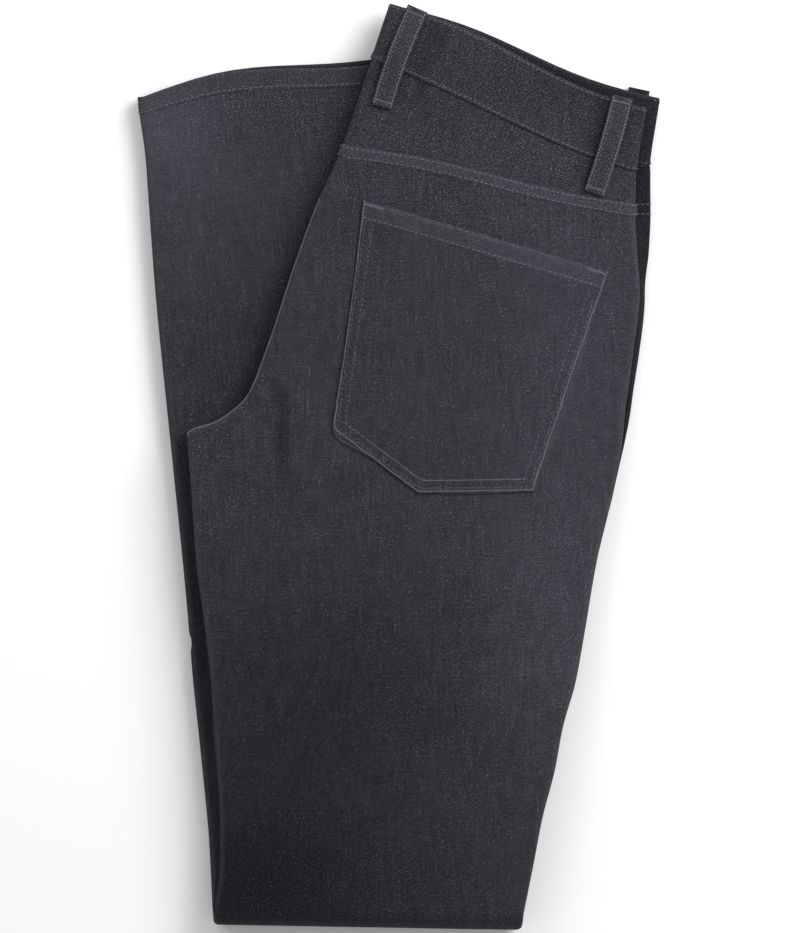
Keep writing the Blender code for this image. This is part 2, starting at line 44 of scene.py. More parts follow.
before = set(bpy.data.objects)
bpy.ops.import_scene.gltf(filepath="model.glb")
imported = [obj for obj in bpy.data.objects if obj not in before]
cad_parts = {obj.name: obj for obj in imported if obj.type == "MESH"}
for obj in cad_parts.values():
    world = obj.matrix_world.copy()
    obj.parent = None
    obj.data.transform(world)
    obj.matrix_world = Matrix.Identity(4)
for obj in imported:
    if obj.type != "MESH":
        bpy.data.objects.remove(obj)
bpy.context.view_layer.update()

MM = 0.001
ORIGIN = np.array((-0.955, -0.36, 0.0))  # the middle of the fold's underside

# The cloth and how high it lies
WALL = 1.4
GAP = 0.4
SEAM_GAP = 0.1
STACK = 13.0  # four layers of the seat and thighs
CALF_STACK = 11.0  # four layers of the calves, pressed by what lies on them
BETWEEN = 1.1  # from the calves up to the thighs
FALL = 100.0  # how far past the calves the seat takes to come down
FOLD_REACH, FOLD_INSIDE = 10.0, 0.5  # how far the outer and the inner leg swing out at the knee
HIDDEN_EASE = 0.2  # how far an outside that rests on the surface is kept off it

# Rolled edges
TUBE = STACK / 2 - GAP / 2
ROLL = 3.5
ROLL_ARC = 3.3  # length round a side's roll for each radian
WRAP = 125.0  # degrees that a back turns round its inner edge
SEAT_ROLL, SEAT_HALF = 5.0, STACK / 2 - 0.15  # the rolls that meet at the centre back
BACK_WRAP = 7.2  # length of a back round its outer edge
PARTING = 0.25  # of a row past the crotch, where the legs part
EDGE_EASE = 5.0  # within this of an edge the creases die away
CORE_INSET = 7.0  # how far the folded fronts stop short of the waistband and the hems
MIDWAY = STACK / 2 - 0.35

# Sewn bands
SEAM_RAISE, SEAM_WIDTH = 0.9, 8.0
WAISTBAND_DEEP, BAND_INSIDE = 36.0, 2.0
CENTRE_FRONT = 9.0  # how far from the centre back the waistband's two ends lie
HEM_RAISE, HEM_DEEP, HEM_INSIDE = 0.6, 11.0, 1.5
BAND_ROUND = 1.2
POCKET_WALL = 1.3
POCKET_HEM, POCKET_HEM_RAISE = 10.0, 0.6
PATCH_GAP = 0.7
LIFT_MARGIN, LIFT_SPREAD = 12.0, 30.0

# Belt loops
LOOP_WIDTH = 12.3
LOOP_WALL = 1.7
LOOP_BULGE = 2.2

RIGHT, LEFT = "right", "left"
SIDE = {RIGHT: 1.0, LEFT: -1.0}


class Rows:
    """A table with a row for each section, read between its rows along a curve that keeps to them."""

    def __init__(self, columns, rows):
        self.order = [row[0] for row in rows]
        self.values = {
            name: np.array([row[1 + i] for row in rows], float) for i, name in enumerate(columns)
        }
        self.last = len(rows) - 1

    def at(self, column, p):
        v = self.values[column]
        i = min(max(int(math.floor(p)), 0), self.last - 1)
        t = p - i
        rise = v[i + 1] - v[i]
        start, end = self.slope(v, i), self.slope(v, i + 1)
        return v[i] + t * start + t * t * (3 * rise - 2 * start - end) + t**3 * (start + end - 2 * rise)

    def slope(self, v, i):
        if i == 0:
            return v[1] - v[0]
        if i == self.last:
            return v[-1] - v[-2]
        before, after = v[i] - v[i - 1], v[i + 1] - v[i]
        return 2 * before * after / (before + after) if before * after > 0 else 0.0

    def index(self, name):
        return float(self.order.index(name))

    def line(self, p):
        left = np.array([self.at("left_x", p), self.at("left_y", p)])
        right = np.array([self.at("right_x", p), self.at("right_y", p)])
        return left, right

    def past(self, name, distance):
        """The row position that lies this far after a named row, or before it if negative."""
        i = self.order.index(name)
        j = i + (1 if distance > 0 else -1)
        here, there = np.mean(self.line(i), axis=0), np.mean(self.line(j), axis=0)
        return i + (j - i) * abs(distance) / float(np.linalg.norm(there - here))

    def between(self, first, last, step):
        """Row positions about this far apart from one to another."""
        found = []
        for i in range(int(math.floor(first)), int(math.ceil(last))):
            a, b = max(first, i), min(last, i + 1)
            length = np.linalg.norm(np.mean(self.line(b), axis=0) - np.mean(self.line(a), axis=0))
            count = max(int(math.ceil(length / step)), 1)
            found += [a + (b - a) * k / count for k in range(count)]
        return found + [last]


THIGH = Rows(
    "left_x left_y right_x right_y bow swing lower_left lower_right lower_rise wrap".split(),
    [
        ("waist_top", -5.5, 266.5, 141.5, 207.0, 0.0, 2.7, 0.0, 9.2, 9.0, 18.4),
        ("waist_seam", -16.5, 234.0, 136.0, 170.5, -2.0, 1.2, 0.0, 9.2, 6.5, 18.4),
        ("yoke_seam", -33.0, 186.0, 135.5, 152.0, 0.8, 1.5, 0.0, 9.2, 2.6, 18.4),
        ("yoke_band", -36.0, 178.0, 135.5, 143.5, 0.8, 1.5, 0.0, 9.2, 2.0, 18.4),
        ("seat_high", -48.5, 150.5, 136.5, 124.0, 0.5, 0.8, 0.0, 7.2, 0.5, 16.4),
        ("seat_wide", -62.5, 112.0, 138.0, 100.0, 0.0, 0.0, 0.0, 3.5, 0.0, 14.0),
        ("seat_mid", -76.5, 70.0, 134.5, 67.0, 0.0, 0.0, 0.0, 3.6, 0.0, 12.0),
        ("seat_low", -89.5, 39.5, 130.5, 38.5, 0.0, 0.0, 0.0, 3.5, 0.0, 10.0),
        ("rise_end", -107.0, 26.0, 129.0, 25.0, 0.0, 0.0, 0.0, 2.9, 0.0, 9.0),
        ("crotch", -123.0, 19.5, 128.0, 14.5, 0.0, 0.0, 0.0, 1.7, 0.0, 8.0),
        ("thigh_high", -120.5, -13.5, 123.0, -13.5, 0.0, 0.0, 0.0, 0.3, 0.0, 7.2),
        ("thigh_mid", -117.5, -55.5, 113.0, -55.5, 0.0, 0.0, 0.0, 0.0, 0.0, 7.2),
        ("thigh_low", -112.5, -93.5, 106.5, -93.5, 0.0, 0.0, 0.0, 0.0, 0.0, 7.2),
        ("knee_high", -109.0, -125.5, 100.5, -125.5, 0.0, 0.0, 0.0, 0.0, 0.0, 7.2),
        ("knee_step", -107.5, -150.5, 93.5, -150.5, 0.0, 0.0, 0.3, 0.0, 0.0, 7.2),
        ("knee_in", -105.5, -174.5, 89.0, -174.5, 0.0, 0.0, 2.0, 0.0, 0.0, 7.2),
        ("knee_mid", -104.0, -203.5, 81.5, -203.5, 0.0, 0.0, 3.5, 0.0, 0.0, 7.2),
        ("knee_low", -104.0, -229.5, 76.5, -229.5, 0.0, 0.0, 2.9, 0.0, 0.0, 7.2),
        ("knee", -107.0, -254.0, 71.0, -257.0, 0.0, 0.0, 0.9, 0.0, 0.0, 7.2),
    ],
)
CALF = Rows(
    "left_x left_y right_x right_y bow swing under_left under_rise".split(),
    [
        ("knee", -108.5, -254.5, 68.5, -257.5, 0.0, 0.0, 0.0, 0.0),
        ("calf_low", -110.5, -215.0, 64.5, -219.5, 0.0, 0.0, 0.6, 0.0),
        ("calf_full", -115.5, -163.0, 58.5, -168.0, 0.0, 0.0, 1.2, 0.0),
        ("crease", -120.0, -120.0, 53.5, -125.0, 0.0, 0.0, 1.6, 0.0),
        ("calf_mid", -123.0, -82.5, 49.5, -88.5, 0.0, 0.0, 1.6, 0.0),
        ("calf_high", -131.0, -2.0, 40.0, -3.0, 0.0, 0.0, 1.6, 0.0),
        ("ankle_low", -141.5, 101.5, 27.0, 107.5, 1.0, 0.5, 1.6, 1.0),
        ("ankle", -147.5, 182.0, 17.5, 193.5, 3.5, 1.8, 1.4, 3.0),
        ("hem_seam", -150.5, 202.5, 14.0, 223.5, 4.6, 2.5, 1.2, 4.0),
        ("hem_end", -151.5, 213.0, 12.5, 235.0, 5.4, 2.9, 1.2, 4.0),
    ],
)
POCKET = Rows(
    "left_x left_y right_x right_y bow".split(),
    [
        ("opening", -21.5, 153.0, 120.0, 112.0, 0.6),
        ("upper", -24.5, 121.0, 113.0, 89.0, 0.0),
        ("middle", -29.0, 87.0, 105.5, 62.5, 0.0),
        ("lower", -34.0, 52.5, 97.5, 38.5, 0.0),
        ("corner", -39.5, 21.5, 90.5, 15.5, 0.0),
        ("slope", -14.0, 3.0, 83.5, 1.0, 0.0),
        ("base", 10.0, -15.5, 76.5, -14.5, -0.6),
    ],
)

# A belt loop's middle line from its top to its end, how far its inside stands off the cloth at
# each, and how far its middle swings sideways
LOOPS = {
    name: dict(top=top, end=end, top_off=top_off, end_off=end_off, swing=swing)
    for name, top, end, top_off, end_off, swing in (
        ("belt_loop_centre_back", (10.0, 263.5), (-11.0, 206.5), 1.6, 0.8, -1.2),
        ("belt_loop_right_side", (128.0, 213.0), (111.5, 157.0), 1.6, 1.6, 0.8),
    )
}
UNDER_LOOP = (138.0, 218.0), (126.5, 165.0)

# Soft creases, each a line on the plan with its height (below 0 for a trough) and half width
THIGH_CREASES = (
    (-1.55, 2.8, ((-80.0, 48.0), (-74.0, 42.0), (-70.0, 37.0), (-68.0, 29.0), (-68.0, 14.0), (-69.0, 0.0))),
    (1.3, 2.6, ((-84.0, 46.0), (-79.5, 41.5), (-75.5, 36.0))),
    (1.1, 2.4, ((-95.0, 30.5), (-89.0, 30.0), (-84.0, 26.0))),
    (0.7, 6.0, ((-61.5, 40.0), (-56.0, 18.0), (-57.0, -10.0))),
    (-0.5, 8.0, ((-112.0, -20.0), (-96.0, -28.0), (-84.0, -40.0))),
    (-0.4, 12.0, ((20.0, -70.0), (40.0, -110.0), (44.0, -150.0))),
    (0.4, 11.0, ((-30.0, -120.0), (-10.0, -160.0), (-6.0, -205.0))),
    (-0.5, 5.0, ((124.0, 118.0), (128.0, 95.0), (127.0, 66.0))),
    (0.35, 9.0, ((-52.0, 128.0), (-58.0, 96.0), (-66.0, 70.0))),
)
CALF_CREASES = (
    (-0.8, 3.0, ((-122.0, -103.0), (-112.0, -101.5), (-104.0, -103.0))),
    (0.5, 2.6, ((-122.0, -98.5), (-113.0, -97.5), (-107.0, -98.0))),
    (-0.5, 9.0, ((-120.0, 170.0), (-112.0, 120.0), (-108.0, 60.0))),
    (0.45, 11.0, ((-84.0, 180.0), (-80.0, 120.0), (-86.0, 70.0))),
    (-0.4, 8.0, ((-50.0, 196.0), (-56.0, 150.0), (-64.0, 120.0))),
    (0.4, 7.0, ((-134.0, 60.0), (-128.0, 20.0), (-124.0, -30.0))),
)

# Painted shade, painted shadows and painted highlights, with broad tone that is lighter in some places and
# darker in others: how much, the middle and the reach each way
THIGH_SHADE_AND_TONE = (
    # Broad tone, lighter towards the right and darker in a few places
    (0.15, (112.0, 90.0), (36.0, 100.0)),
    (0.20, (95.0, -80.0), (45.0, 80.0)),
    (-0.10, (75.0, 225.0), (90.0, 24.0)),
    (-0.10, (130.0, 205.0), (40.0, 40.0)),
    (-0.10, (-5.0, -130.0), (55.0, 60.0)),
    # Painted shade along the trough of the crease by the crotch, and painted highlights on its two ridges
    (-0.32, (-68.5, 16.0), (3.4, 20.0)),
    (-0.26, (-72.5, 38.0), (3.4, 6.0)),
    (0.10, (-78.5, 41.0), (4.0, 4.0)),
    (0.10, (-90.0, 29.5), (6.0, 2.6)),
    # Darker towards the lower left and towards the knee
    (-0.22, (-75.0, -140.0), (80.0, 75.0)),
    (-0.40, (-95.0, -250.0), (120.0, 62.0)),
    # Painted shadows beside the belt loops: right of the centre back one, left of the right side's one
    (-0.24, (20.0, 249.0), (6.0, 13.0)),
    (-0.18, (12.0, 226.0), (5.0, 13.0)),
    (-0.24, (118.5, 205.0), (6.0, 13.0)),
    (-0.24, (112.0, 186.0), (6.0, 13.0)),
    (-0.20, (106.0, 167.0), (6.0, 12.0)),
)
CALF_SHADE_AND_TONE = (
    # Broad tone over the calf, lighter towards the hem at the left and darker in the middle
    (0.36, (-142.0, 200.0), (34.0, 40.0)),
    (0.14, (-110.0, 150.0), (45.0, 80.0)),
    (-0.14, (-85.0, 85.0), (40.0, 80.0)),
    # Painted shadow of the thigh on the strip of calf that shows at its left
    (-0.22, (-118.0, -90.0), (16.0, 110.0)),
)
# Painted shade on the layers that lie under the top ones: the left leg's seat and thigh, the right leg's
# calf, the folded fronts and the pressed belt loop
UNDER_PAINTED_SHADE = -0.36


def smoothstep(t):
    t = np.clip(t, 0.0, 1.0)
    return t * t * (3 - 2 * t)


def past_sides(corners, plan):
    """How far places lie past the nearest side of a convex outline, and below 0 inside it. Its
    corners run clockwise."""
    x, y = plan.T
    far = [
        ((x - ax) * (ay - by) + (y - ay) * (bx - ax)) / math.hypot(bx - ax, by - ay)
        for (ax, ay), (bx, by) in zip(corners, corners[1:] + corners[:1])
    ]
    return np.max(far, axis=0)


CALF_KNEE, CALF_HEM = CALF.line(0)[1], CALF.line(CALF.last)


def beyond_calves(plan):
    """How far places lie past the calves' hidden side or past their hem."""
    side, end = CALF_HEM[1] - CALF_KNEE, CALF_HEM[1] - CALF_HEM[0]
    off = plan - CALF_KNEE
    past_side = np.maximum((off[:, 0] * side[1] - off[:, 1] * side[0]) / np.linalg.norm(side), 0)
    off = plan - CALF_HEM[0]
    past_hem = np.maximum((off[:, 1] * end[0] - off[:, 0] * end[1]) / np.linalg.norm(end), 0)
    return np.hypot(past_side, past_hem)


def strip_corners(top, end, width):
    top, end = np.array(top), np.array(end)
    along = (end - top) / np.linalg.norm(end - top)
    side = np.array([-along[1], along[0]]) * width / 2
    return [tuple(p) for p in (end - side, top - side, top + side, end + side)]


POCKET_CORNERS = [
    *(tuple(POCKET.line(i)[0]) for i in (POCKET.last, POCKET.index("corner"), 0)),
    *(tuple(POCKET.line(i)[1]) for i in (0, POCKET.last)),
]
PATCHES = (
    (POCKET_CORNERS, POCKET_WALL + PATCH_GAP),
    (strip_corners(*UNDER_LOOP, LOOP_WIDTH), LOOP_WALL + PATCH_GAP),
)


def lie(plan):
    """Height of the seat and thighs' underside, were nothing sewn to it."""
    return (CALF_STACK + BETWEEN) * (1 - smoothstep(beyond_calves(plan) / FALL))


def lift(plan):
    """How far what is sewn on underneath lifts the layer above it."""
    highest = np.zeros(len(plan))
    for corners, height in PATCHES:
        away = np.maximum(past_sides(corners, plan), 0) - LIFT_MARGIN
        highest = np.maximum(highest, height * (1 - smoothstep(away / LIFT_SPREAD)))
    return highest


def place(station, plan, depth):
    """Points in space for places on the plan and their depths in the stack."""
    kind, p = station
    plan = np.asarray(plan, float)
    depth = np.broadcast_to(np.asarray(depth, float), len(plan))
    calf = depth * CALF_STACK / STACK
    if kind == "calf":
        return np.column_stack([plan, calf])
    up = lift(plan)
    thigh = lie(plan) + up + (STACK - depth) * (STACK - up) / STACK
    if kind == "thigh":
        return np.column_stack([plan, thigh])
    middle = CALF_STACK + BETWEEN / 2
    reach = FOLD_INSIDE + (FOLD_REACH - FOLD_INSIDE) * (1 - depth / STACK)
    swing = math.cos(p)
    z = middle + swing * (thigh - middle if swing > 0 else middle - calf)
    return np.column_stack([plan[:, 0], plan[:, 1] - reach * math.sin(p), z])


def leg_line(leg, station):
    """The ends of a leg's row on the plan."""
    kind, p = station
    if kind == "fold":
        share = p / math.pi
        above = leg_line(leg, ("thigh", THIGH.last))
        below = leg_line(leg, ("calf", 0))
        return [a * (1 - share) + b * share for a, b in zip(above, below)]
    rows = THIGH if kind == "thigh" else CALF
    left, right = rows.line(p)
    along = (right - left) / np.linalg.norm(right - left)
    if kind == "thigh" and leg == LEFT:
        left = left - along * rows.at("lower_left", p)
        right = right + along * rows.at("lower_right", p) + (0, rows.at("lower_rise", p))
    if kind == "calf" and leg == RIGHT:
        left = left + along * rows.at("under_left", p)
        right = right + (0, rows.at("under_rise", p))
    return [left, right]


def inward(leg, station):
    """Unit directions on the plan from the two ends of a row into the cloth."""
    kind, p = station
    if kind == "fold":
        return [np.array([1.0, 0.0]), np.array([-1.0, 0.0])]
    last = (THIGH if kind == "thigh" else CALF).last
    low, high = max(p - 0.4, 0), min(p + 0.4, last)
    before, after = leg_line(leg, (kind, low)), leg_line(leg, (kind, high))
    turn = 1 if kind == "thigh" else -1
    ways = []
    for a, b, side in zip(before, after, (turn, -turn)):
        run = (b - a) / np.linalg.norm(b - a)
        ways.append(side * np.array([-run[1], run[0]]))
    return ways


def seat_share(station):
    """1 where the two backs meet at the centre back, 0 where the legs are apart."""
    kind, p = station
    return float(1 - smoothstep((p - THIGH.index("crotch")) / PARTING)) if kind == "thigh" else 0.0


class Section:
    """One row across a leg. It gives the plan and depth of places along it, at a thickness that
    runs inwards from the plane of the outside. Each call takes arrays."""

    def __init__(self, leg, station):
        self.leg, self.station = leg, station
        self.left, self.right = leg_line(leg, station)
        self.left_in, self.right_in = inward(leg, station)
        self.seat = seat_share(station)
        self.roll = ROLL + self.seat * (SEAT_ROLL - ROLL)
        self.half = TUBE / 2 + self.seat * (SEAT_HALF - TUBE / 2)
        self.wrap = WRAP + self.seat * (90 - WRAP)
        kind, p = station
        rows = THIGH if kind == "thigh" else CALF
        self.bow, self.swing = (0, 0) if kind == "fold" else (rows.at("bow", p), rows.at("swing", p))
        under = kind == "thigh" and leg == LEFT
        self.side_wrap = THIGH.at("wrap", p) if under else BACK_WRAP

    def flat(self, share, thick):
        """Along the flat stretch, at shares of it from the left."""
        share, thick = np.broadcast_arrays(np.asarray(share, float), thick)
        start = self.left + self.left_in * self.roll
        end = self.right + self.right_in * ROLL
        plan = start * (1 - share[:, None]) + end * share[:, None]
        plan[:, 1] += self.bow * 4 * share * (1 - share) + self.swing * np.sin(2 * np.pi * share)
        return plan, thick

    def under(self, share, thick):
        """The same on the leg's far side."""
        return self.flat(share, 0)[0], TUBE - np.broadcast_to(thick, len(share))

    def left_edge(self, degrees, thick):
        """Round the left edge's roll, at degrees from the flat stretch."""
        turn, thick = np.broadcast_arrays(np.radians(degrees), thick)
        inset = self.roll - (self.roll - thick) * np.sin(turn)
        return self.left + self.left_in * inset[:, None], self.half - (self.half - thick) * np.cos(turn)

    def under_left(self, inset, thick):
        """On the far side, at distances in from the left edge."""
        inset, thick = np.broadcast_arrays(np.asarray(inset, float), thick)
        return self.left + self.left_in * inset[:, None], TUBE - thick

    def side(self, length, thick):
        """Round the side's roll and on along the far side, at lengths from the flat stretch."""
        length, thick = np.broadcast_arrays(np.asarray(length, float), thick)
        turn = np.minimum(length / ROLL_ARC, np.pi)
        half = TUBE / 2
        inset = ROLL - (ROLL - thick) * np.sin(turn) + np.maximum(length - np.pi * ROLL_ARC, 0)
        return self.right + self.right_in * inset[:, None], half - (half - thick) * np.cos(turn)

    def core(self, edge, inset, deep):
        """One place, at a distance in from an edge."""
        start, way = (self.left, self.left_in) if edge == "left" else (self.right, self.right_in)
        return (start + way * inset)[None, :], np.array([deep], float)

    def spot(self, where, values, thick):
        """Points in space."""
        return self.lay(*getattr(self, where)(np.atleast_1d(values), thick))

    def lay(self, plan, deep):
        return place(self.station, plan, deep if self.leg == RIGHT else STACK - deep)


def evenly(first, last, count):
    return np.linspace(first, last, count)


def strokes(plan, creases):
    """Height that soft creases add at places on the plan."""
    height = np.zeros(len(plan))
    for rise, width, line in creases:
        near = np.full(len(plan), 1e9)
        along = np.zeros(len(plan))
        points = np.array(line)
        for i, (a, b) in enumerate(zip(points, points[1:])):
            run = b - a
            t = np.clip(((plan - a) @ run) / (run @ run), 0, 1)
            away = np.linalg.norm(plan - a - t[:, None] * run, axis=1)
            closer = away < near
            near = np.where(closer, away, near)
            along = np.where(closer, (i + t) / (len(points) - 1), along)
        # How strongly the crease shows along its length, less towards its ends
        painted_shade_or_taper = 0.25 + 0.75 * np.sin(np.pi * np.clip(along, 0.02, 0.98)) ** 0.6
        height += rise * painted_shade_or_taper * np.exp(-((near / width) ** 2))
    return height


def drift(plan, seed, length, size):
    """Slow unevenness of a laid cloth."""
    return np.array([size * noise.noise(Vector((x / length, y / length, seed))) for x, y in plan])


def patches(plan, shades_and_tones):
    """Paler or darker dye at places on the plan."""
    change = np.zeros(len(plan))
    for amount, middle, reach in shades_and_tones:
        change += amount * np.exp(-(((plan - middle) / reach) ** 2).sum(axis=1))
    return change


def add_object(name, data):
    holder = bpy.data.objects.new(name, data)
    bpy.context.scene.collection.objects.link(holder)
    return holder


def mesh_piece(name, points, faces, material, grain, wear, painted_shade_or_taper):
    """A mesh object from points in millimetres, with its cloth's grain as a UV map in metres, and
    at each point how rubbed it is and how its painted shade, painted highlights and broad tone shift its
    colour."""
    mesh = bpy.data.meshes.new(name)
    mesh.from_pydata((np.asarray(points) - ORIGIN) * MM, [], faces)
    corner = np.zeros(len(mesh.loops), int)
    mesh.loops.foreach_get("vertex_index", corner)
    layer = mesh.uv_layers.new(name="grain")
    layer.data.foreach_set("uv", (np.asarray(grain) * MM)[corner].astype(np.float32).ravel())
    # rub is real wear; the second attribute carries painted shade, painted highlights and broad tone
    for attribute, values in (("rub", wear), ("painted_shade_or_taper", painted_shade_or_taper)):
        layer = mesh.attributes.new(attribute, "FLOAT", "POINT")
        layer.data.foreach_set("value", np.broadcast_to(values, len(points)).astype(np.float32))
    mesh.materials.append(material)
    mesh.shade_smooth()
    turn_out(mesh)
    return add_object(name, mesh)


SHARP_ANGLE = 50  # degrees


def turn_out(mesh):
    """Turns the faces outwards, and shades what folds sharply as an edge."""
    bm = bmesh.new()
    bm.from_mesh(mesh)
    bmesh.ops.recalc_face_normals(bm, faces=bm.faces)
    bm.to_mesh(mesh)
    bm.free()
    mesh.set_sharp_from_angle(angle=math.radians(SHARP_ANGLE))


def loft(name, rings, grains, wears, shades_and_tones, material, joined):
    """A body through rings of equal counts, open or joined end to end. An open body's ends are
    strips across each ring, which runs out along one side and back along the other."""
    count = len(rings[0])
    total = len(rings)
    index = np.arange(total * count).reshape(total, count)
    a = index if joined else index[:-1]
    b = np.roll(index, -1, axis=0) if joined else index[1:]
    c, d = np.roll(a, -1, axis=1), np.roll(b, -1, axis=1)
    faces = np.stack([a, c, d, b], axis=-1).reshape(-1, 4).tolist()
    if not joined:
        for ring in (index[0], index[-1]):
            half = count // 2
            faces += [
                (int(ring[i]), int(ring[i + 1]), int(ring[count - 2 - i]), int(ring[count - 1 - i]))
                for i in range(half - 1)
            ]
    points, grain, wear, painted_shade_or_taper = (np.concatenate(v) for v in (rings, grains, wears, shades_and_tones))
    return mesh_piece(name, points, faces, material, grain, wear, painted_shade_or_taper)


class Wall:
    """The rows of a piece of cloth. Each runs out along its outside and back along its inside."""

    def __init__(self):
        self.rings, self.grains, self.wears, self.shades_and_tones = [], [], [], []

    def add(self, outer, inner, grain, wear, painted_shade_or_taper):
        self.rings.append(np.concatenate([outer, inner[::-1]]))
        for found, values in ((self.grains, grain), (self.wears, wear), (self.shades_and_tones, painted_shade_or_taper)):
            found.append(np.concatenate([values, values[::-1]]))

    def loft(self, name, material):
        return loft(name, self.rings, self.grains, self.wears, self.shades_and_tones, material, False)


def run_length(points):
    """Distance along a line of points, from its first."""
    steps = np.linalg.norm(np.diff(points, axis=0), axis=1)
    return np.concatenate([[0.0], np.cumsum(steps)])


# How fine the cloth is
STEP = 2.6
LEFT_SHARES = evenly(1, 0, 12)
FLAT_SHARES = np.concatenate(
    [[0.004, 0.009, 0.014, 0.020, 0.028], evenly(0.038, 0.975, 84), [0.984, 0.992]]
)
SIDE_SHARES = evenly(0, 1, 13)
FOLD_ANGLES = np.radians(evenly(5, 175, 23))

# The cloth's own pieces
CALF_SLANT, YOKE_SLANT = 5.8, -20.0  # degrees of the grain from the plan's axes
NOTCH = -104.0  # the small pinch in the calf's left edge
POCKET_STITCH_DOWN = 9.4


def thigh_relief(plan):
    """Creases and unevenness of the seat and thigh on top."""
    return strokes(plan, THIGH_CREASES) + drift(plan, 3.1, 46.0, 0.42) + drift(plan, 7.7, 17.0, 0.12)


def calf_relief(plan):
    return strokes(plan, CALF_CREASES) + drift(plan, 11.3, 52.0, 0.42) + drift(plan, 5.9, 19.0, 0.12)


def hidden_relief(plan):
    """The same on the sides that lie against the surface."""
    return np.minimum(drift(plan, 23.0, 40.0, 0.35) - HIDDEN_EASE, 0.0)


def relief(leg, station, plan):
    kind, p = station
    if kind == "fold":
        share = smoothstep(p / math.pi)
        first, last = relief(leg, ("thigh", THIGH.last), plan), relief(leg, ("calf", 0), plan)
        return first * (1 - share) + last * share
    if kind == "thigh":
        return thigh_relief(plan) if leg == RIGHT else hidden_relief(plan)
    return calf_relief(plan) if leg == LEFT else hidden_relief(plan)


def painted_shade_and_tone(leg, station, plan):
    """Painted shade, painted shadows and painted highlights, with broad tone, at places on the plan: the
    tables' patches where a leg shows on top, and the same painted shade all over the layers beneath.
    """
    kind, p = station
    if kind == "fold":
        share = p / math.pi
        return painted_shade_and_tone(leg, ("thigh", 0), plan) * (1 - share) + painted_shade_and_tone(leg, ("calf", 0), plan) * share
    if kind == "thigh":
        return patches(plan, THIGH_SHADE_AND_TONE) if leg == RIGHT else np.full(len(plan), UNDER_PAINTED_SHADE)
    return patches(plan, CALF_SHADE_AND_TONE) if leg == LEFT else np.full(len(plan), UNDER_PAINTED_SHADE)


def slanted(degrees):
    turn = math.radians(degrees)
    return np.array([[math.cos(turn), math.sin(turn)], [-math.sin(turn), math.cos(turn)]])


class Grain:
    """The cloth's own grain, which lies flat on the plan: across the threads from the left, and
    down them from the waist. On the rolled edges it follows the cloth round."""

    def __init__(self, leg, thigh_slant):
        self.side = SIDE[leg]
        self.thigh, self.calf = slanted(thigh_slant), slanted(CALF_SLANT)
        self.thigh_end = self.knee = None

    def at(self, station, plan, base, far, first, last):
        """The grain of a row, whose flat stretch runs from its first to its last place."""
        kind, p = station
        middle = plan[len(plan) // 2]
        if kind == "thigh":
            u, v = self.thigh @ plan.T
            self.thigh_end = (self.thigh @ middle, far)
        else:
            share = p / math.pi if kind == "fold" else 1.0
            (u0, v0), far0 = self.thigh_end
            if kind == "calf":
                self.knee = self.knee or (middle, far)
                middle, far = self.knee
            off = (self.thigh * (1 - share) + self.calf * share) @ (plan - middle).T
            u = u0 + off[0]
            v = v0 - (far - far0) + off[1] * (1 - 2 * share)
        run = run_length(base)
        u[:first] = u[first] + (run[:first] - run[first])
        u[last:] = u[last] + (run[last:] - run[last])
        return np.column_stack([self.side * u, v])


def across(section, thick):
    """Plan and depth of a back panel's columns."""
    n, m = len(LEFT_SHARES), len(LEFT_SHARES) + len(FLAT_SHARES)
    thick = np.broadcast_to(thick, m + len(SIDE_SHARES))
    parts = [
        section.left_edge(section.wrap * LEFT_SHARES, thick[:n]),
        section.flat(FLAT_SHARES, thick[n:m]),
        section.side(section.side_wrap * SIDE_SHARES, thick[m:]),
    ]
    return np.concatenate([plan for plan, _ in parts]), np.concatenate([deep for _, deep in parts])


def felled(far, width, rise):
    """Height of a felled seam's band at distances from its edge."""
    return rise * smoothstep(far / 0.8) * (1 - smoothstep((far - width + 0.9) / 0.9))


def roping(u, far, width):
    """The slanting ripple that a felled seam or hem pulls into its band."""
    band = smoothstep(far / 1.2) * (1 - smoothstep((far - width + 1.2) / 1.2))
    return 0.16 * band * np.sin((u + 0.9 * far) * 2 * np.pi / 8.3 + 1.1 * np.sin(u / 17.0))


def panel(name, leg, stations, slant, shape, material):
    """A panel's wall. shape gives the extra height and the wear for a row, from its section, its
    distance from the first row, and the distance across from each seam."""
    wall, grain = Wall(), Grain(leg, slant)
    first, last = len(LEFT_SHARES), len(LEFT_SHARES) + len(FLAT_SHARES) - 1
    middle, far = None, 0.0
    for station in stations:
        section = Section(leg, station)
        plan, deep = across(section, 0.0)
        base = section.lay(plan, deep)
        before, middle = middle, base[len(base) // 2]
        far += 0.0 if before is None else float(np.linalg.norm(middle - before))
        from_left = run_length(base)
        from_side = from_left[-1] - from_left
        inner_share = smoothstep(from_left / EDGE_EASE) * smoothstep(from_side / EDGE_EASE)
        extra, wear = shape(section, far, from_left, from_side)
        rise = relief(leg, station, plan) * inner_share + extra
        wall.add(
            section.lay(*across(section, -rise)),
            section.lay(*across(section, WALL - np.minimum(rise, 0.6) * inner_share)),
            grain.at(station, plan, base, far, first, last),
            wear,
            painted_shade_and_tone(leg, station, plan),
        )
    return wall.loft(name, material)


def near(value, centre, width):
    return np.exp(-(((value - centre) / width) ** 2))


def crowded(p):
    """Rows beside the crotch's own, which would cross it at the edge."""
    from_crotch = p - THIGH.index("crotch")
    return -0.35 < from_crotch < 0 or 0 < from_crotch < 0.12


def panel_stations():
    band = (0.35, 0.7, 1.1, 1.8, 3.2, 4.8, 6.2, 6.9, 7.4, 7.9, 8.6, 9.6)
    rows = [THIGH.past("yoke_seam", far) for far in (SEAM_GAP / 2, *band)]
    below = THIGH.between(THIGH.past("yoke_seam", 11.0), THIGH.last, STEP)
    rows += [p for p in below if not crowded(p)]
    stations = [("thigh", p) for p in rows] + [("fold", turn) for turn in FOLD_ANGLES]
    return stations + [("calf", p) for p in CALF.between(0, CALF.past("hem_seam", -SEAM_GAP), STEP * 1.35)]


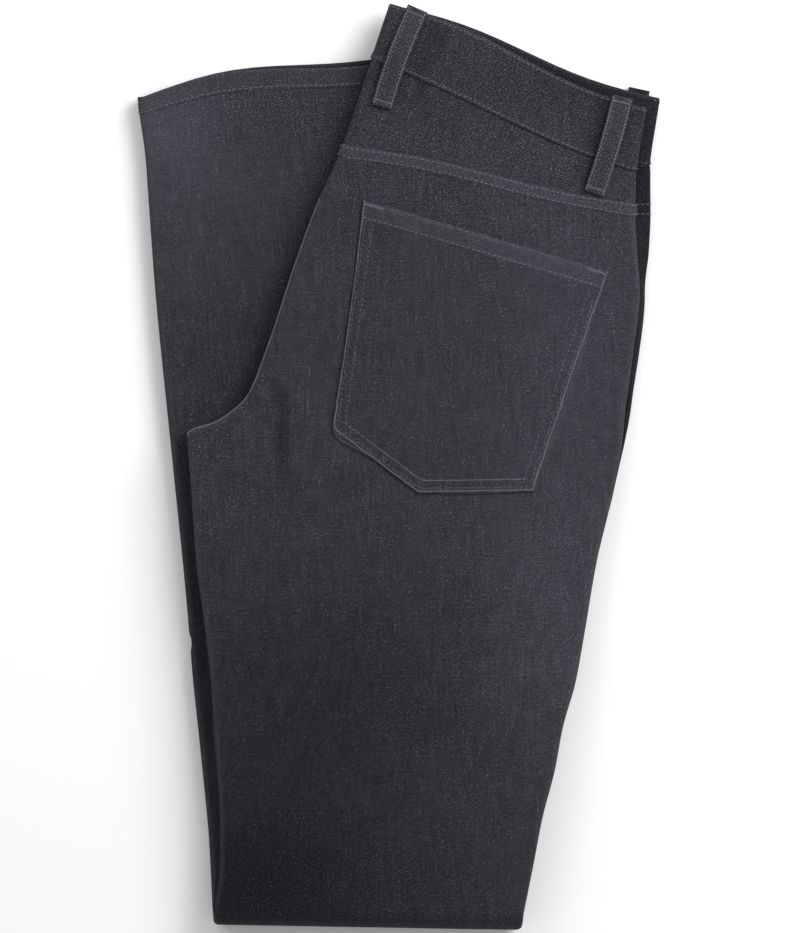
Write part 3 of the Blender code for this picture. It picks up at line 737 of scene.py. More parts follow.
def back_panel(leg, material):
    def shape(section, far, from_left, from_side):
        kind, p = section.station
        extra, wear = np.zeros(len(from_left)), np.zeros(len(from_left))
        if kind == "thigh" and far < SEAM_WIDTH + 4 and leg == RIGHT:  # the yoke's felled seam
            extra += felled(far, SEAM_WIDTH, SEAM_RAISE) + roping(from_left, far, SEAM_WIDTH)
            wear += 0.5 * felled(far, SEAM_WIDTH, 1.0)
            wear += 0.35 * float(near(far, 7.4, 0.7) + near(far, 0.9, 0.6))
        if kind == "thigh":  # the seat's seam, the inside leg's and the side's
            seat = section.seat
            extra += seat * 0.8 * near(from_left, 4.2, 2.6)
            wear += seat * 0.7 * near(from_left, 3.6, 1.6) + (1 - seat) * 0.5 * near(from_left, 4.6, 1.6)
            wear += 0.2 * near(from_side, BACK_WRAP - 2.5, 2.0)
        if kind == "fold":
            wear += 0.3 * math.sin(p) + 0.3 * near(from_left, 4.6, 2.0)
        if kind == "calf":
            wear += 0.4 * near(from_left, 4.6, 1.6) + 0.25 * near(from_side, 4.0, 1.6)
        if kind == "calf" and leg == LEFT:
            height = float(np.mean([section.left[1], section.right[1]]))
            extra -= 2.4 * float(near(height, NOTCH, 2.4)) * near(from_left, 3.0, 7.0)
        return extra, wear

    return panel(f"{leg}_back_cloth", leg, panel_stations(), 0.0, shape, material)


def yoke(leg, material):
    rows = [THIGH.past("waist_seam", far) for far in (SEAM_GAP / 2, 0.5, 1.2)]
    rows += THIGH.between(THIGH.past("waist_seam", 2.4), THIGH.past("yoke_seam", -1.4), STEP)
    rows += [THIGH.past("yoke_seam", -far) for far in (0.6, SEAM_GAP / 2)]

    def shape(section, far, from_left, from_side):
        seat = 0.8 * near(from_left, 4.2, 2.6)
        dip = -0.35 * near(far, 0.0, 2.2)
        return seat + dip, 0.5 * near(from_left, 2.4, 1.4)

    return panel(f"{leg}_yoke_cloth", leg, [("thigh", p) for p in rows], YOKE_SLANT, shape, material)


FRONT_FLATS = evenly(0.05, 0.95, 15)
SHOWN_TURNS, COVERED_TURNS = 8, 7  # places round the left edge, past the back and under it
FRONT_BEGIN = 1 + SHOWN_TURNS + COVERED_TURNS  # the first place of the flat stretch
UNDER_BACK = WALL + GAP + 0.3  # depth of the fronts where a back covers them


def front_half(section):
    """Half a ring of the folded fronts, which shows past the back's edges and lies under it."""
    kind, p = section.station
    above = kind == "thigh" and p < THIGH.index("thigh_high")
    # Degrees round the left edge from where it shows to where it tucks under the back, and how
    # far in the crease between the halves lies
    if section.seat:
        start, tuck, crease = 88.0, 72.0, UNDER_BACK + 0.2
    else:
        start, tuck, crease = 178.0, WRAP + 6.0, 6.0
    covered, half_turn = section.side_wrap + GAP, math.pi * ROLL_ARC
    last = max(half_turn * 0.99, section.side_wrap + 2.4)
    parts = [
        section.core("left", crease, MIDWAY),
        section.left_edge(evenly(start, tuck, SHOWN_TURNS), UNDER_BACK if above else 0.0),
        section.left_edge(evenly(tuck, 0, COVERED_TURNS), UNDER_BACK),
        section.flat(FRONT_FLATS, UNDER_BACK),
        section.side(evenly(0, covered, 8), UNDER_BACK),
        section.side(evenly(covered, last, 6), 0.0),
        section.core("right", ROLL + max(last - half_turn + 1, 3.5), MIDWAY),
    ]
    plan, deep = (np.concatenate(part) for part in zip(*parts))
    return section.lay(plan, deep)


def front_end(sides, rows, begin):
    """Faces that close an end of the folded fronts: in each half they fan from the flat stretch's
    ends to the rolled edges and meet a middle row, whose points count from begin."""
    first, last = FRONT_BEGIN, FRONT_BEGIN + len(FRONT_FLATS) - 1
    faces, middles = [], []
    for side, row in zip(sides, rows):
        middle = [side[0], *range(begin, begin + len(row)), side[-1]]
        begin += len(row)
        middles.append(middle)
        faces += [(side[first], side[i], side[i + 1]) for i in range(first - 1)]
        faces += [(side[last], side[i], side[i + 1]) for i in range(last + 1, len(side) - 1)]
        steps = enumerate(zip(middle, middle[1:]), first)
        faces += [(side[i], side[i + 1], b, a) for i, (a, b) in steps]
    upper, lower = middles
    faces += [(upper[i], upper[i + 1], lower[i + 1], lower[i]) for i in range(len(upper) - 1)]
    return [tuple(int(i) for i in face) for face in faces]


def folded_fronts(material):
    start, end = THIGH.past("waist_seam", CORE_INSET), CALF.past("hem_seam", -CORE_INSET)
    stations = [("thigh", p) for p in THIGH.between(start, THIGH.last, STEP * 2)]
    stations += [("fold", turn) for turn in FOLD_ANGLES]
    stations += [("calf", p) for p in CALF.between(0, end, STEP * 2)]
    rings = []
    for station in stations:
        upper, lower = (front_half(Section(leg, station)) for leg in (RIGHT, LEFT))
        rings.append(np.concatenate([upper, lower[::-1]]))
    half, count = len(upper), len(rings[0])
    index = np.arange(len(rings) * count).reshape(len(rings), count)
    faces, grains, points = [], [], list(rings)
    for a, b in zip(index, index[1:]):
        faces += np.stack([a, np.roll(a, -1), np.roll(b, -1), b], axis=-1).tolist()
    for ring, v in zip(rings, run_length(np.array([ring[half // 2] for ring in rings]))):
        u = run_length(ring)
        grains.append(np.column_stack([u - u[half // 2], np.full(count, -v)]))
    total = index.size
    for station, ring in ((stations[0], index[0]), (stations[-1], index[-1])):
        rows = [Section(leg, station).spot("flat", FRONT_FLATS[1:-1], MIDWAY) for leg in (RIGHT, LEFT)]
        faces += front_end((ring[:half], ring[half:][::-1]), rows, total)
        total += sum(len(row) for row in rows)
        points += rows
        grains += [row[:, :2] for row in rows]
    points, grains = np.concatenate(points), np.concatenate(grains)
    # The folded fronts get the painted shade of the layers beneath, all over
    return mesh_piece("folded_fronts_cloth", points, faces, material, grains, 0.1, UNDER_PAINTED_SHADE)


BAND_FLATS = np.concatenate(
    [[0.006, 0.014, 0.024], evenly(0.038, 0.96, 66), [0.975, 0.988]]
)
COARSE_FLATS = evenly(0.96, 0.04, 14)
BAND_HEIGHTS = (
    0, 0.01, 0.03, 0.06, 0.1, 0.16, 0.24, 0.34, 0.44, 0.54,
    0.64, 0.74, 0.82, 0.88, 0.92, 0.95, 0.97, 0.985, 1,
)  # fmt: skip
TURNS = np.radians(evenly(0, 180, 13))
TURNS_HOLD = (1 + np.cos(TURNS)) / 2


def stop(where, values, hold):
    """Places of one kind on a section, and how far a band's outside takes up the relief there."""
    values = np.atleast_1d(values)
    return where, values, np.broadcast_to(hold, len(values))


def at_stops(section, stops, thick):
    """Plan and depth of a band's places, each at its own thickness."""
    cuts = np.cumsum([len(values) for _, values, _ in stops])[:-1]
    sharing = zip(stops, np.split(thick, cuts))
    parts = [getattr(section, where)(values, part) for (where, values, _), part in sharing]
    return [np.concatenate(part) for part in zip(*parts)]


def hoop(name, halves, station_at, inside, shape, material, length):
    """A sewn band round a flattened opening. halves gives each leg, how far its outside is raised
    and its stops. shape gives the extra height and the wear from the height share and the distance
    round."""
    heights = [(high, True) for high in BAND_HEIGHTS] + [(high, False) for high in BAND_HEIGHTS[::-3]]
    rings, grains, wears, shades_and_tones, around = [], [], [], [], None
    for high, shown in heights:
        station, parts = station_at(high), []
        for leg, raised, stops in halves:
            section = Section(leg, station)
            hold = np.concatenate([hold for *_, hold in stops])
            plan, deep = at_stops(section, stops, np.zeros(len(hold)))
            extra, wear = shape(high, run_length(section.lay(plan, deep)) * SIDE[leg])
            extra = extra + relief(leg, station, plan)
            rise = hold * (raised + extra) if raised else np.minimum(extra - HIDDEN_EASE, 0) * (hold > 0)
            thick = round_edge(high, length) - rise if shown else np.full(len(hold), inside)
            spots_here = section.lay(*at_stops(section, stops, thick))
            parts.append((spots_here, np.full(len(hold), wear if shown else 0.0), painted_shade_and_tone(leg, station, plan)))
        ring, wear, painted_shade_or_taper = (np.concatenate(part) for part in zip(*parts))
        around = run_length(ring) if around is None else around
        rings.append(ring)
        grains.append(np.column_stack([around, np.full(len(ring), high * -length)]))
        wears.append(wear)
        shades_and_tones.append(painted_shade_or_taper)
    return loft(name, rings, grains, wears, shades_and_tones, material, True)


def round_edge(high, length):
    """How far a band's outside falls away at its two edges, for a height share of its length."""
    from_edge = min(high, 1 - high) * length
    return 0.5 * (1 - math.sqrt(min(from_edge / BAND_ROUND, 1)))


def waves(around, length, row, seed):
    """Slow unevenness along a band."""
    return np.array([0.3 * noise.noise(Vector((a / length, row, seed))) for a in around])


def waistband(material):
    end = THIGH.past("waist_seam", -SEAM_GAP / 2)
    upper = [
        stop("left_edge", evenly(80, 0, 9), 1.0),
        stop("flat", BAND_FLATS, 1.0),
        stop("side", TURNS * ROLL_ARC, TURNS_HOLD),
        stop("under", COARSE_FLATS, 0.0),
        stop("under_left", CENTRE_FRONT, 0.0),
    ]
    lower = [(where, values[::-1], hold[::-1]) for where, values, hold in upper[::-1]]

    def shape(high, around):
        up, down = high * WAISTBAND_DEEP, (1 - high) * WAISTBAND_DEEP
        seam = 0.3 * near(down, 1.7, 1.4) + 0.2 * near(up, 1.6, 1.3)
        middle = math.sin(math.pi * min(max(high, 0.03), 0.97)) ** 0.5
        wear = 0.12 + 0.6 * near(down, 0.8, 1.1) + 0.4 * near(up, 0.7, 0.9)
        return seam + waves(around, 21.0, high * 1.3, 4.4) * middle + roping(around, down, 5.0), wear

    return hoop(
        "waistband_cloth", ((RIGHT, SEAM_RAISE, upper), (LEFT, 0.0, lower)),
        lambda high: ("thigh", high * end), BAND_INSIDE, shape, material, WAISTBAND_DEEP,
    )  # fmt: skip


def hem(leg, material):
    first, last = CALF.index("hem_seam"), CALF.index("hem_end")
    stops = [
        stop("flat", BAND_FLATS, 1.0),
        stop("side", TURNS * ROLL_ARC, TURNS_HOLD),
        stop("under", COARSE_FLATS, 0.0),
        stop("left_edge", np.degrees(TURNS[::-1]), TURNS_HOLD[::-1]),
    ]

    def shape(high, around):
        up = high * HEM_DEEP
        edge = 0.25 * near(up, 1.0, 1.0) + 0.3 * near(up, 10.0, 1.2)
        wear = 0.3 + 0.5 * near(up, 0.6, 0.8) + 0.6 * near(up, 10.6, 1.0)
        return roping(around, up, 10.5) * 1.5 + edge + waves(around, 15.0, high, 9.2), wear

    raised = HEM_RAISE if leg == LEFT else 0.0
    return hoop(
        f"{leg}_hem_cloth", [(leg, raised, stops)], lambda high: ("calf", first + high * (last - first)),
        HEM_INSIDE, shape, material, HEM_DEEP,
    )  # fmt: skip


def above_thigh(plan, off):
    """Points that stand off the seat and thigh on top."""
    return place(("thigh", 0), plan, -off)


POCKET_SHARES = np.concatenate(
    [
        [0, 0.004, 0.010, 0.018, 0.03, 0.045],
        evenly(0.062, 0.938, 46),
        [0.955, 0.97, 0.982, 0.990, 0.996, 1],
    ]
)


def pocket_rows():
    hem_rows = (0.4, 0.9, 1.6, 3.0, 5.0, 7.0, 8.4, 9.2, 9.8, 10.4, 11.2)
    near_top = [POCKET.past("opening", far) for far in hem_rows]
    near_base = [POCKET.past("base", -far) for far in (1.6, 0.9, 0.4)]
    body = POCKET.between(POCKET.past("opening", 13.0), POCKET.past("base", -2.8), STEP)
    return [0.0, *near_top, *body, *near_base, float(POCKET.last)]


def pocket_plan(p):
    left, right = POCKET.line(p)
    plan = left * (1 - POCKET_SHARES[:, None]) + right * POCKET_SHARES[:, None]
    plan[:, 1] += POCKET.at("bow", p) * 4 * POCKET_SHARES * (1 - POCKET_SHARES)
    return plan


def opening():
    """The two ends of a pocket's opening, the direction along it and the one down from it."""
    left, right = POCKET.line(0)
    run = (right - left) / np.linalg.norm(right - left)
    return left, right, run, np.array([run[1], -run[0]])


def pocket(leg, material):
    wall = Wall()
    corner, _, _, down_way = opening()
    for p in pocket_rows():
        plan = pocket_plan(p)
        edge = np.maximum(-past_sides(POCKET_CORNERS, plan), 0)
        down = (plan - corner) @ down_way
        hemmed = POCKET_HEM_RAISE * (1 - smoothstep((down - POCKET_HEM + 0.5) / 1.0))
        turned = 0.3 * (1 - smoothstep((edge - 6.2) / 1.2))
        rim = 0.9 * (1 - np.sqrt(np.clip(edge / 0.9, 0, 1)))
        ripple = 0.12 * np.sin((plan[:, 0] - plan[:, 1] + down) * 2 * np.pi / 7.9)
        rope = ripple * (1 - smoothstep((edge - 6.0) / 1.0))
        puff = 0.35 * smoothstep(edge / 40.0)
        wear = 0.35 * (1 - smoothstep((down - POCKET_HEM) / 1.2))
        wear = wear + 0.55 * near(edge, 0.8, 0.9) + 0.3 * near(down, 9.3, 0.8)
        if leg == RIGHT:
            ground = PATCH_GAP - 0.3 + thigh_relief(plan)
            outer = above_thigh(plan, ground + POCKET_WALL + hemmed + turned - rim + rope + puff)
            inner = above_thigh(plan, ground)
        else:
            under = lie(plan)
            outer = np.column_stack([plan, under + rim * 0.5])
            inner = np.column_stack([plan, under + POCKET_WALL])
        wall.add(outer, inner, plan * (SIDE[leg], 1), wear, painted_shade_and_tone(leg, ("thigh", 0), plan))
    return wall.loft(f"{leg}_pocket_cloth", material)


# Places across a belt loop, as shares of its half width
LOOP_ACROSS = np.array([-1, -0.97, -0.9, -0.78, -0.6, -0.35, 0, 0.35, 0.6, 0.78, 0.9, 0.97, 1])
LOOP_OUT = np.abs(LOOP_ACROSS)
LOOP_ROUND = 1 - np.sqrt(np.clip((1 - LOOP_OUT) / 0.14, 0, 1))


def loop_path(top, end, swing, share):
    """The middle of a belt loop and the direction across it, at a share of its length."""
    top, end = np.array(top), np.array(end)
    run = end - top
    along = run / np.linalg.norm(run)
    side = np.array([-along[1], along[0]])
    lean = swing * math.cos(math.pi * share) * math.pi / np.linalg.norm(run)
    across_way = side - along * lean
    middle = top + run * share + side * swing * math.sin(math.pi * share)
    return middle, across_way / np.linalg.norm(across_way)


def loop_off(middle, share, top_off, end_off):
    """How far a belt loop's inside stands off at a share of its length."""
    bulge = LOOP_BULGE * math.sin(math.pi * share) ** 2
    off = top_off + (end_off - top_off) * float(smoothstep(share)) + bulge
    return off + float(thigh_relief(middle[None, :])[0])


def strap(name, top, end, swing, shares, turned, faces, painted_shade_or_taper, material):
    """A belt loop's strip. faces gives its outside, its inside and its wear at a share of its
    length, from its middle and its places across."""
    wall, length = Wall(), math.dist(top, end)
    for share in shares:
        middle, way = loop_path(top, end, swing, share)
        plan = middle + np.outer(LOOP_ACROSS, way) * LOOP_WIDTH / 2
        outer, inner, wear = faces(share, length, middle, plan)
        down = np.full(len(plan), -share * length)
        grain = np.column_stack([turned * LOOP_ACROSS * LOOP_WIDTH / 2, down])
        wall.add(outer, inner, grain, wear, np.full(len(plan), painted_shade_or_taper))
    return wall.loft(name, material)


def belt_loop(name, top, end, top_off, end_off, swing, material):
    """A belt loop that stands off the cloth between its tacked ends."""

    def faces(share, length, middle, plan):
        tip = min(share, 1 - share) * length
        ends = 0.9 * (1 - math.sqrt(min(tip / 1.6, 1.0)))
        tack = 0.25 * float(near(tip, 3.6, 1.4))
        rim = 0.35 * near(LOOP_OUT, 0.8, 0.14)
        ripple = 0.10 * np.sin((share * length + LOOP_ACROSS * 2.0) * 2 * np.pi / 3.4)
        rope = ripple * near(LOOP_OUT, 0.82, 0.2)
        off = loop_off(middle, share, top_off, end_off)
        outer = above_thigh(plan, off + LOOP_WALL - ends - tack + rim - 0.75 * LOOP_ROUND + rope)
        return outer, above_thigh(plan, off), 0.3 + 0.55 * near(LOOP_OUT, 0.88, 0.14)

    body = evenly(0.075, 0.925, 30)
    shares = np.concatenate([[0, 0.006, 0.016, 0.03, 0.05], body, [0.95, 0.97, 0.984, 0.994, 1]])
    return strap(name, top, end, swing, shares, 1, faces, 0.0, material)


def under_loop(material):
    """The left side's belt loop, pressed flat under the fold."""

    def faces(share, length, middle, plan):
        under = lie(plan)
        outer = np.column_stack([plan, under + 0.6 * LOOP_ROUND])
        return outer, np.column_stack([plan, under + LOOP_WALL]), 0.3 + 0.4 * near(LOOP_OUT, 0.88, 0.14)

    shares = evenly(0, 1, 20)
    # Painted shade all over, as it lies under the fold
    return strap("belt_loop_left_side_cloth", *UNDER_LOOP, 0.0, shares, -1, faces, UNDER_PAINTED_SHADE, material)


# Nodes

class Value:
    """A socket that takes part in sums."""

    def __init__(self, tree, socket):
        self.tree, self.socket = tree, socket

    def __add__(self, other):
        return combine(self.tree, "ADD", self, other)

    def __sub__(self, other):
        return combine(self.tree, "SUBTRACT", self, other)

    def __rsub__(self, other):
        return combine(self.tree, "SUBTRACT", other, self)

    def __mul__(self, other):
        return combine(self.tree, "MULTIPLY", self, other)

    def __truediv__(self, other):
        return combine(self.tree, "DIVIDE", self, other)


def add_node(tree, kind, settings, sockets):
    """A node with its settings made first, then its sockets' values or links."""
    node = tree.nodes.new(kind)
    for name, value in settings.items():
        setattr(node, name, value)
    for key, value in sockets.items():
        if isinstance(value, Value):
            tree.links.new(value.socket, node.inputs[key])
        else:
            node.inputs[key].default_value = value
    return node


def take(tree, kind, settings, sockets, output=0):
    return Value(tree, add_node(tree, kind, settings, sockets).outputs[output])


def combine(tree, operation, *values):
    return take(tree, "ShaderNodeMath", {"operation": operation}, dict(enumerate(values)))


# Threads, laid as lines on the cloth and sewn by Geometry Nodes

STITCH_INPUTS = (
    ("Pitch", "NodeSocketFloat"),
    ("Stitch Length", "NodeSocketFloat"),
    ("Thread Width", "NodeSocketFloat"),
    ("Slant", "NodeSocketFloat"),
    ("Seed", "NodeSocketInt"),
    ("Thread", "NodeSocketMaterial"),
)
RESAMPLE = {"mode": "LENGTH"}
FACE_ALONG, FACE_UP = {"axis": "X"}, {"axis": "Z", "pivot_axis": "X"}


def varied(tree, low, high, seed):
    """A random number for each stitch."""
    return take(tree, "FunctionNodeRandomValue", {"data_type": "FLOAT"}, {2: low, 3: high, "Seed": seed}, 1)


def stitch_tree():
    """Lays a stitch at each step along the lines, along them or slanted, its top away from the
    cloth."""
    tree = bpy.data.node_groups.new("stitches", "GeometryNodeTree")
    face = tree.interface
    face.new_socket("Geometry", in_out="INPUT", socket_type="NodeSocketGeometry")
    for name, kind in STITCH_INPUTS:
        face.new_socket(name, in_out="INPUT", socket_type=kind)
    face.new_socket("Geometry", in_out="OUTPUT", socket_type="NodeSocketGeometry")
    given = tree.nodes.new("NodeGroupInput")
    asked = {socket.name: Value(tree, socket) for socket in given.outputs if socket.name}
    line = take(tree, "GeometryNodeMeshToCurve", {}, {"Mesh": asked["Geometry"]})
    points = take(tree, "GeometryNodeResampleCurve", RESAMPLE, {"Curve": line, "Length": asked["Pitch"]})
    along = take(tree, "GeometryNodeInputTangent", {}, {})
    up = take(tree, "GeometryNodeInputNamedAttribute", {"data_type": "FLOAT_VECTOR"}, {"Name": "up"})
    turn = take(tree, "FunctionNodeAlignRotationToVector", FACE_ALONG, {"Vector": along})
    turn = take(tree, "FunctionNodeAlignRotationToVector", FACE_UP, {"Rotation": turn, "Vector": up})
    slant = asked["Slant"] + varied(tree, -0.06, 0.06, asked["Seed"])
    lean = take(tree, "FunctionNodeAxisAngleToRotation", {}, {"Axis": (0, 0, 1), "Angle": slant})
    local = {"rotation_space": "LOCAL"}
    turn = take(tree, "FunctionNodeRotateRotation", local, {"Rotation": turn, "Rotate By": lean})
    length = asked["Stitch Length"] * varied(tree, 0.88, 1.08, asked["Seed"] + 1)
    width = asked["Thread Width"]
    size = take(tree, "ShaderNodeCombineXYZ", {}, {0: length, 1: width, 2: width * 0.9})
    bead = take(tree, "GeometryNodeMeshUVSphere", {}, {"Segments": 8, "Rings": 5, "Radius": 0.5})
    laid_out = {"Points": points, "Instance": bead, "Rotation": turn, "Scale": size}
    sewn = take(tree, "GeometryNodeInstanceOnPoints", {}, laid_out)
    sewn = take(tree, "GeometryNodeRealizeInstances", {}, {"Geometry": sewn})
    sewn = take(tree, "GeometryNodeSetShadeSmooth", {}, {"Geometry": sewn})
    sewn = take(tree, "GeometryNodeSetMaterial", {}, {"Geometry": sewn, "Material": asked["Thread"]})
    add_node(tree, "NodeGroupOutput", {}, {"Geometry": sewn})
    return tree


def surface_of(piece):
    """A tree of a piece's faces, for finding the cloth's surface."""
    points = [vertex.co.copy() for vertex in piece.data.vertices]
    faces = [list(face.vertices) for face in piece.data.polygons]
    return BVHTree.FromPolygons(points, faces)


THREAD_PROUD = 0.08
OFF = 0.9  # how far outside the cloth a line is given
FIRST_SEED = 11


def read_along(path, steps):
    """Places at distances along a line of points."""
    far = run_length(path)
    return np.column_stack([np.interp(steps, far, column) for column in np.transpose(path)])


def resampled(path, step):
    """A line of points about this far apart along another."""
    length = run_length(path)[-1]
    return read_along(path, evenly(0, length, max(int(length / step), 2) + 1))


def laid(cloth, points):
    """A line's points moved to the nearest place on the cloth, each with the direction up from it.
    The points given are in millimetres, a little outside the cloth."""
    found = []
    for point in (resampled(points, 1.2) - ORIGIN) * MM:
        spot, normal, _, _ = cloth.find_nearest(Vector(point))
        found.append((spot + normal * THREAD_PROUD * MM, normal))
    return found


def sew(name, lines, pitch, length, width, slant, seed, material):
    """One mesh of all the stitches along lines of (point, direction up)."""
    mesh = bpy.data.meshes.new(name)
    points, edges, ups = [], [], []
    for line in lines:
        begin = len(points)
        points += [spot for spot, _ in line]
        ups += [up for _, up in line]
        edges += [(i, i + 1) for i in range(begin, len(points) - 1)]
    mesh.from_pydata(points, edges, [])
    layer = mesh.attributes.new("up", "FLOAT_VECTOR", "POINT")
    layer.data.foreach_set("vector", np.array(ups, np.float32).ravel())
    guide = add_object(name + "_lines", mesh)
    modifier = guide.modifiers.new("stitches", "NODES")
    modifier.node_group = bpy.data.node_groups.get("stitches") or stitch_tree()
    values = (pitch * MM, length * MM, width * MM, slant, seed, material)
    given = {input_name: value for (input_name, _), value in zip(STITCH_INPUTS, values)}
    for socket in modifier.node_group.interface.items_tree:
        if socket.in_out == "INPUT" and socket.name in given:
            modifier[socket.identifier] = given[socket.name]
    bpy.context.view_layer.update()
    graph = bpy.context.evaluated_depsgraph_get()
    sewn = bpy.data.meshes.new_from_object(guide.evaluated_get(graph))
    bpy.data.objects.remove(guide, do_unlink=True)
    if not sewn.vertices:
        raise RuntimeError(f"{name}: no stitches were sewn")
    sewn.name = name
    return add_object(name, sewn)


ALONG_FLAT = evenly(0.01, 0.99, 60)


def round_line(section, rise, left, flat, side, side_rise):
    """A line over a row from edge to edge: degrees round the left, shares of the flat and lengths
    round the side, over cloth that is raised this far."""
    return np.concatenate(
        [
            section.spot("left_edge", left, -rise - OFF),
            section.spot("flat", flat, -rise - OFF),
            section.spot("side", side, -side_rise - OFF),
        ]
    )


def yoke_line(leg, far):
    section = Section(leg, ("thigh", THIGH.past("yoke_seam", far)))
    rise = SEAM_RAISE if leg == RIGHT else 0.0
    left, side = section.wrap * evenly(0.8, 0, 6), section.side_wrap * evenly(0, 0.97, 14)
    return round_line(section, rise, left, evenly(0.004, 0.996, 60), side, rise)


def band_line(leg, high):
    """Along the waistband at a share of its height."""
    section = Section(leg, ("thigh", high * THIGH.past("waist_seam", -GAP / 2)))
    rise = SEAM_RAISE if leg == RIGHT else 0.0
    side = np.radians(evenly(0, 170, 16)) * ROLL_ARC
    return round_line(section, rise, evenly(78, 0, 8), ALONG_FLAT, side, rise / 2)


def hem_line(leg, far):
    first, last = CALF.index("hem_seam"), CALF.index("hem_end")
    section = Section(leg, ("calf", first + (last - first) * far / HEM_DEEP))
    rise = HEM_RAISE if leg == LEFT else 0.0
    side = np.radians(evenly(0, 150, 12)) * ROLL_ARC
    return round_line(section, rise, evenly(150, 0, 10), ALONG_FLAT, side, rise)


def seat_line():
    """Along the centre back, where the right back is felled over the left."""
    rows = THIGH.between(THIGH.past("yoke_seam", 16.0), THIGH.index("crotch") + 0.02, 5.0)
    return np.concatenate([Section(RIGHT, ("thigh", p)).spot("left_edge", 50.0, -OFF) for p in rows])


def inset_outline(inset):
    """The pocket's side and base edges, moved in, from one end of its opening to the other."""
    base_left, corner, top_left, top_right, base_right = np.array(POCKET_CORNERS)
    path = np.array([top_left, corner, base_left, base_right, top_right])
    middle = path.mean(axis=0)
    ways = []
    for a, b in zip(path, path[1:]):
        run = (b - a) / np.linalg.norm(b - a)
        way = np.array([-run[1], run[0]])
        ways.append(way if way @ (middle - a) > 0 else -way)
    turns = [(before + after) / 2 for before, after in zip([ways[0], *ways], [*ways, ways[-1]])]
    return np.array([spot + way * inset / (way @ way) for spot, way in zip(path, turns)])


def trimmed(path, cut):
    """A path without this much of its two ends."""
    far = run_length(path)
    return read_along(path, np.concatenate([[cut], far[1:-1], [far[-1] - cut]]))


def on_pocket(leg, path):
    plan = resampled(path, 4.0)
    if leg == LEFT:
        return np.column_stack([plan, lie(plan) - 0.4])
    return above_thigh(plan, PATCH_GAP + POCKET_WALL + POCKET_HEM_RAISE + OFF + thigh_relief(plan))


def pocket_lines(leg):
    """The pocket's edge, its hem, the inner line of its base, and its two fainter lines."""
    left, right, run, down = opening()
    top, inner = down * POCKET_STITCH_DOWN, inset_outline(7.4)
    paths = (
        inset_outline(0.9),
        [left + run * 3.4 + top, right - run * 1.2 + top],
        inner[1:4],
        trimmed(inset_outline(2.9), 10.0),
        trimmed(inner, 10.0),
    )
    return [on_pocket(leg, path) for path in paths]


def pocket_tacks(leg):
    left, right, run, down = opening()
    ends = ((left + run * 1.4, left + run * 12.2), (right - run * 12.0, right - run * 1.4))
    return [on_pocket(leg, [a + down * 1.6, b + down * 1.6]) for a, b in ends]


def on_loop(top, end, top_off, end_off, swing, across, shares):
    points = []
    for share in shares:
        middle, way = loop_path(top, end, swing, share)
        off = loop_off(middle, share, top_off, end_off)
        points.append(above_thigh((middle + way * across)[None, :], off + LOOP_WALL + OFF)[0])
    return np.array(points)


LOOP_STITCHES, LOOP_INNER_STITCHES, LOOP_TACK = 5.2, 3.3, 4.6  # from a loop's middle line


def loop_tack(loop, share):
    places = (-LOOP_TACK, 0.0, LOOP_TACK)
    return np.array([on_loop(**loop, across=a, shares=[share])[0] for a in places])


def all_lines():
    """The sewn lines of each kind, as (piece, points)."""
    plain, sunk, slanting, tacks = [], [], [], []
    for leg in (RIGHT, LEFT):
        plain += [(f"{leg}_back_cloth", yoke_line(leg, far)) for far in (1.2, 6.9)]
        plain += [("waistband_cloth", band_line(leg, high)) for high in (0.045, 0.955)]
        plain.append((f"{leg}_hem_cloth", hem_line(leg, 1.2)))
        edge, hem_row, base, *faint = pocket_lines(leg)
        slanting.append((f"{leg}_pocket_cloth", edge))
        plain += [(f"{leg}_pocket_cloth", line) for line in (hem_row, base)]
        sunk += [(f"{leg}_pocket_cloth", line) for line in faint]
        tacks += [(f"{leg}_pocket_cloth", line) for line in pocket_tacks(leg)]
    slanting.append(("right_back_cloth", seat_line()))
    for name, loop in LOOPS.items():
        piece = name + "_cloth"
        for side in (-1, 1):
            outer, inner = side * LOOP_STITCHES, side * LOOP_INNER_STITCHES
            slanting.append((piece, on_loop(**loop, across=outer, shares=evenly(0.03, 0.97, 24))))
            sunk.append((piece, on_loop(**loop, across=inner, shares=evenly(0.06, 0.94, 24))))
        tacks += [(piece, loop_tack(loop, share)) for share in (0.055, 0.945)]
    return plain, sunk, slanting, tacks


# Finishes

DENIM_DARK, DENIM_LIGHT, DENIM_PALE = (0.0052, 0.0055, 0.0080), (0.061, 0.064, 0.078), (0.17, 0.175, 0.195)
THREAD_DARK, THREAD_LIGHT = (0.055, 0.06, 0.072), (0.145, 0.15, 0.175)
EDGE_DARK, EDGE_LIGHT = (0.11, 0.12, 0.135), (0.22, 0.23, 0.255)
SEAM_SHADE = 0.86  # the waistband, hems and loops get a darker copy of the denim
TWILL = 1.5  # millimetres from line to line across the cloth
PER_METRE = 1000.0


def finish(name):
    material = bpy.data.materials.new(name)
    material.use_nodes = True
    return material, material.node_tree, material.node_tree.nodes["Principled BSDF"]


def spots(tree, where, scale, detail=2.0, rough=0.5, stretch=(1.0, 1.0, 1.0)):
    """Noise at places in millimetres, stretched along the cloth's threads."""
    spread = take(tree, "ShaderNodeVectorMath", {"operation": "MULTIPLY"}, {0: where, 1: stretch})
    look = {"Vector": spread, "Scale": scale, "Detail": detail, "Roughness": rough}
    return take(tree, "ShaderNodeTexNoise", {}, look)


def span(tree, value, low, high):
    """0 below low, 1 above high, smooth between."""
    ends = {"Value": value, "From Min": low, "From Max": high, "To Min": 0.0, "To Max": 1.0}
    return take(tree, "ShaderNodeMapRange", {"interpolation_type": "SMOOTHSTEP"}, ends)


def blended(tree, factor, first, second):
    node = add_node(tree, "ShaderNodeMix", {"data_type": "RGBA"}, {0: factor, 6: first, 7: second})
    return Value(tree, node.outputs[2])


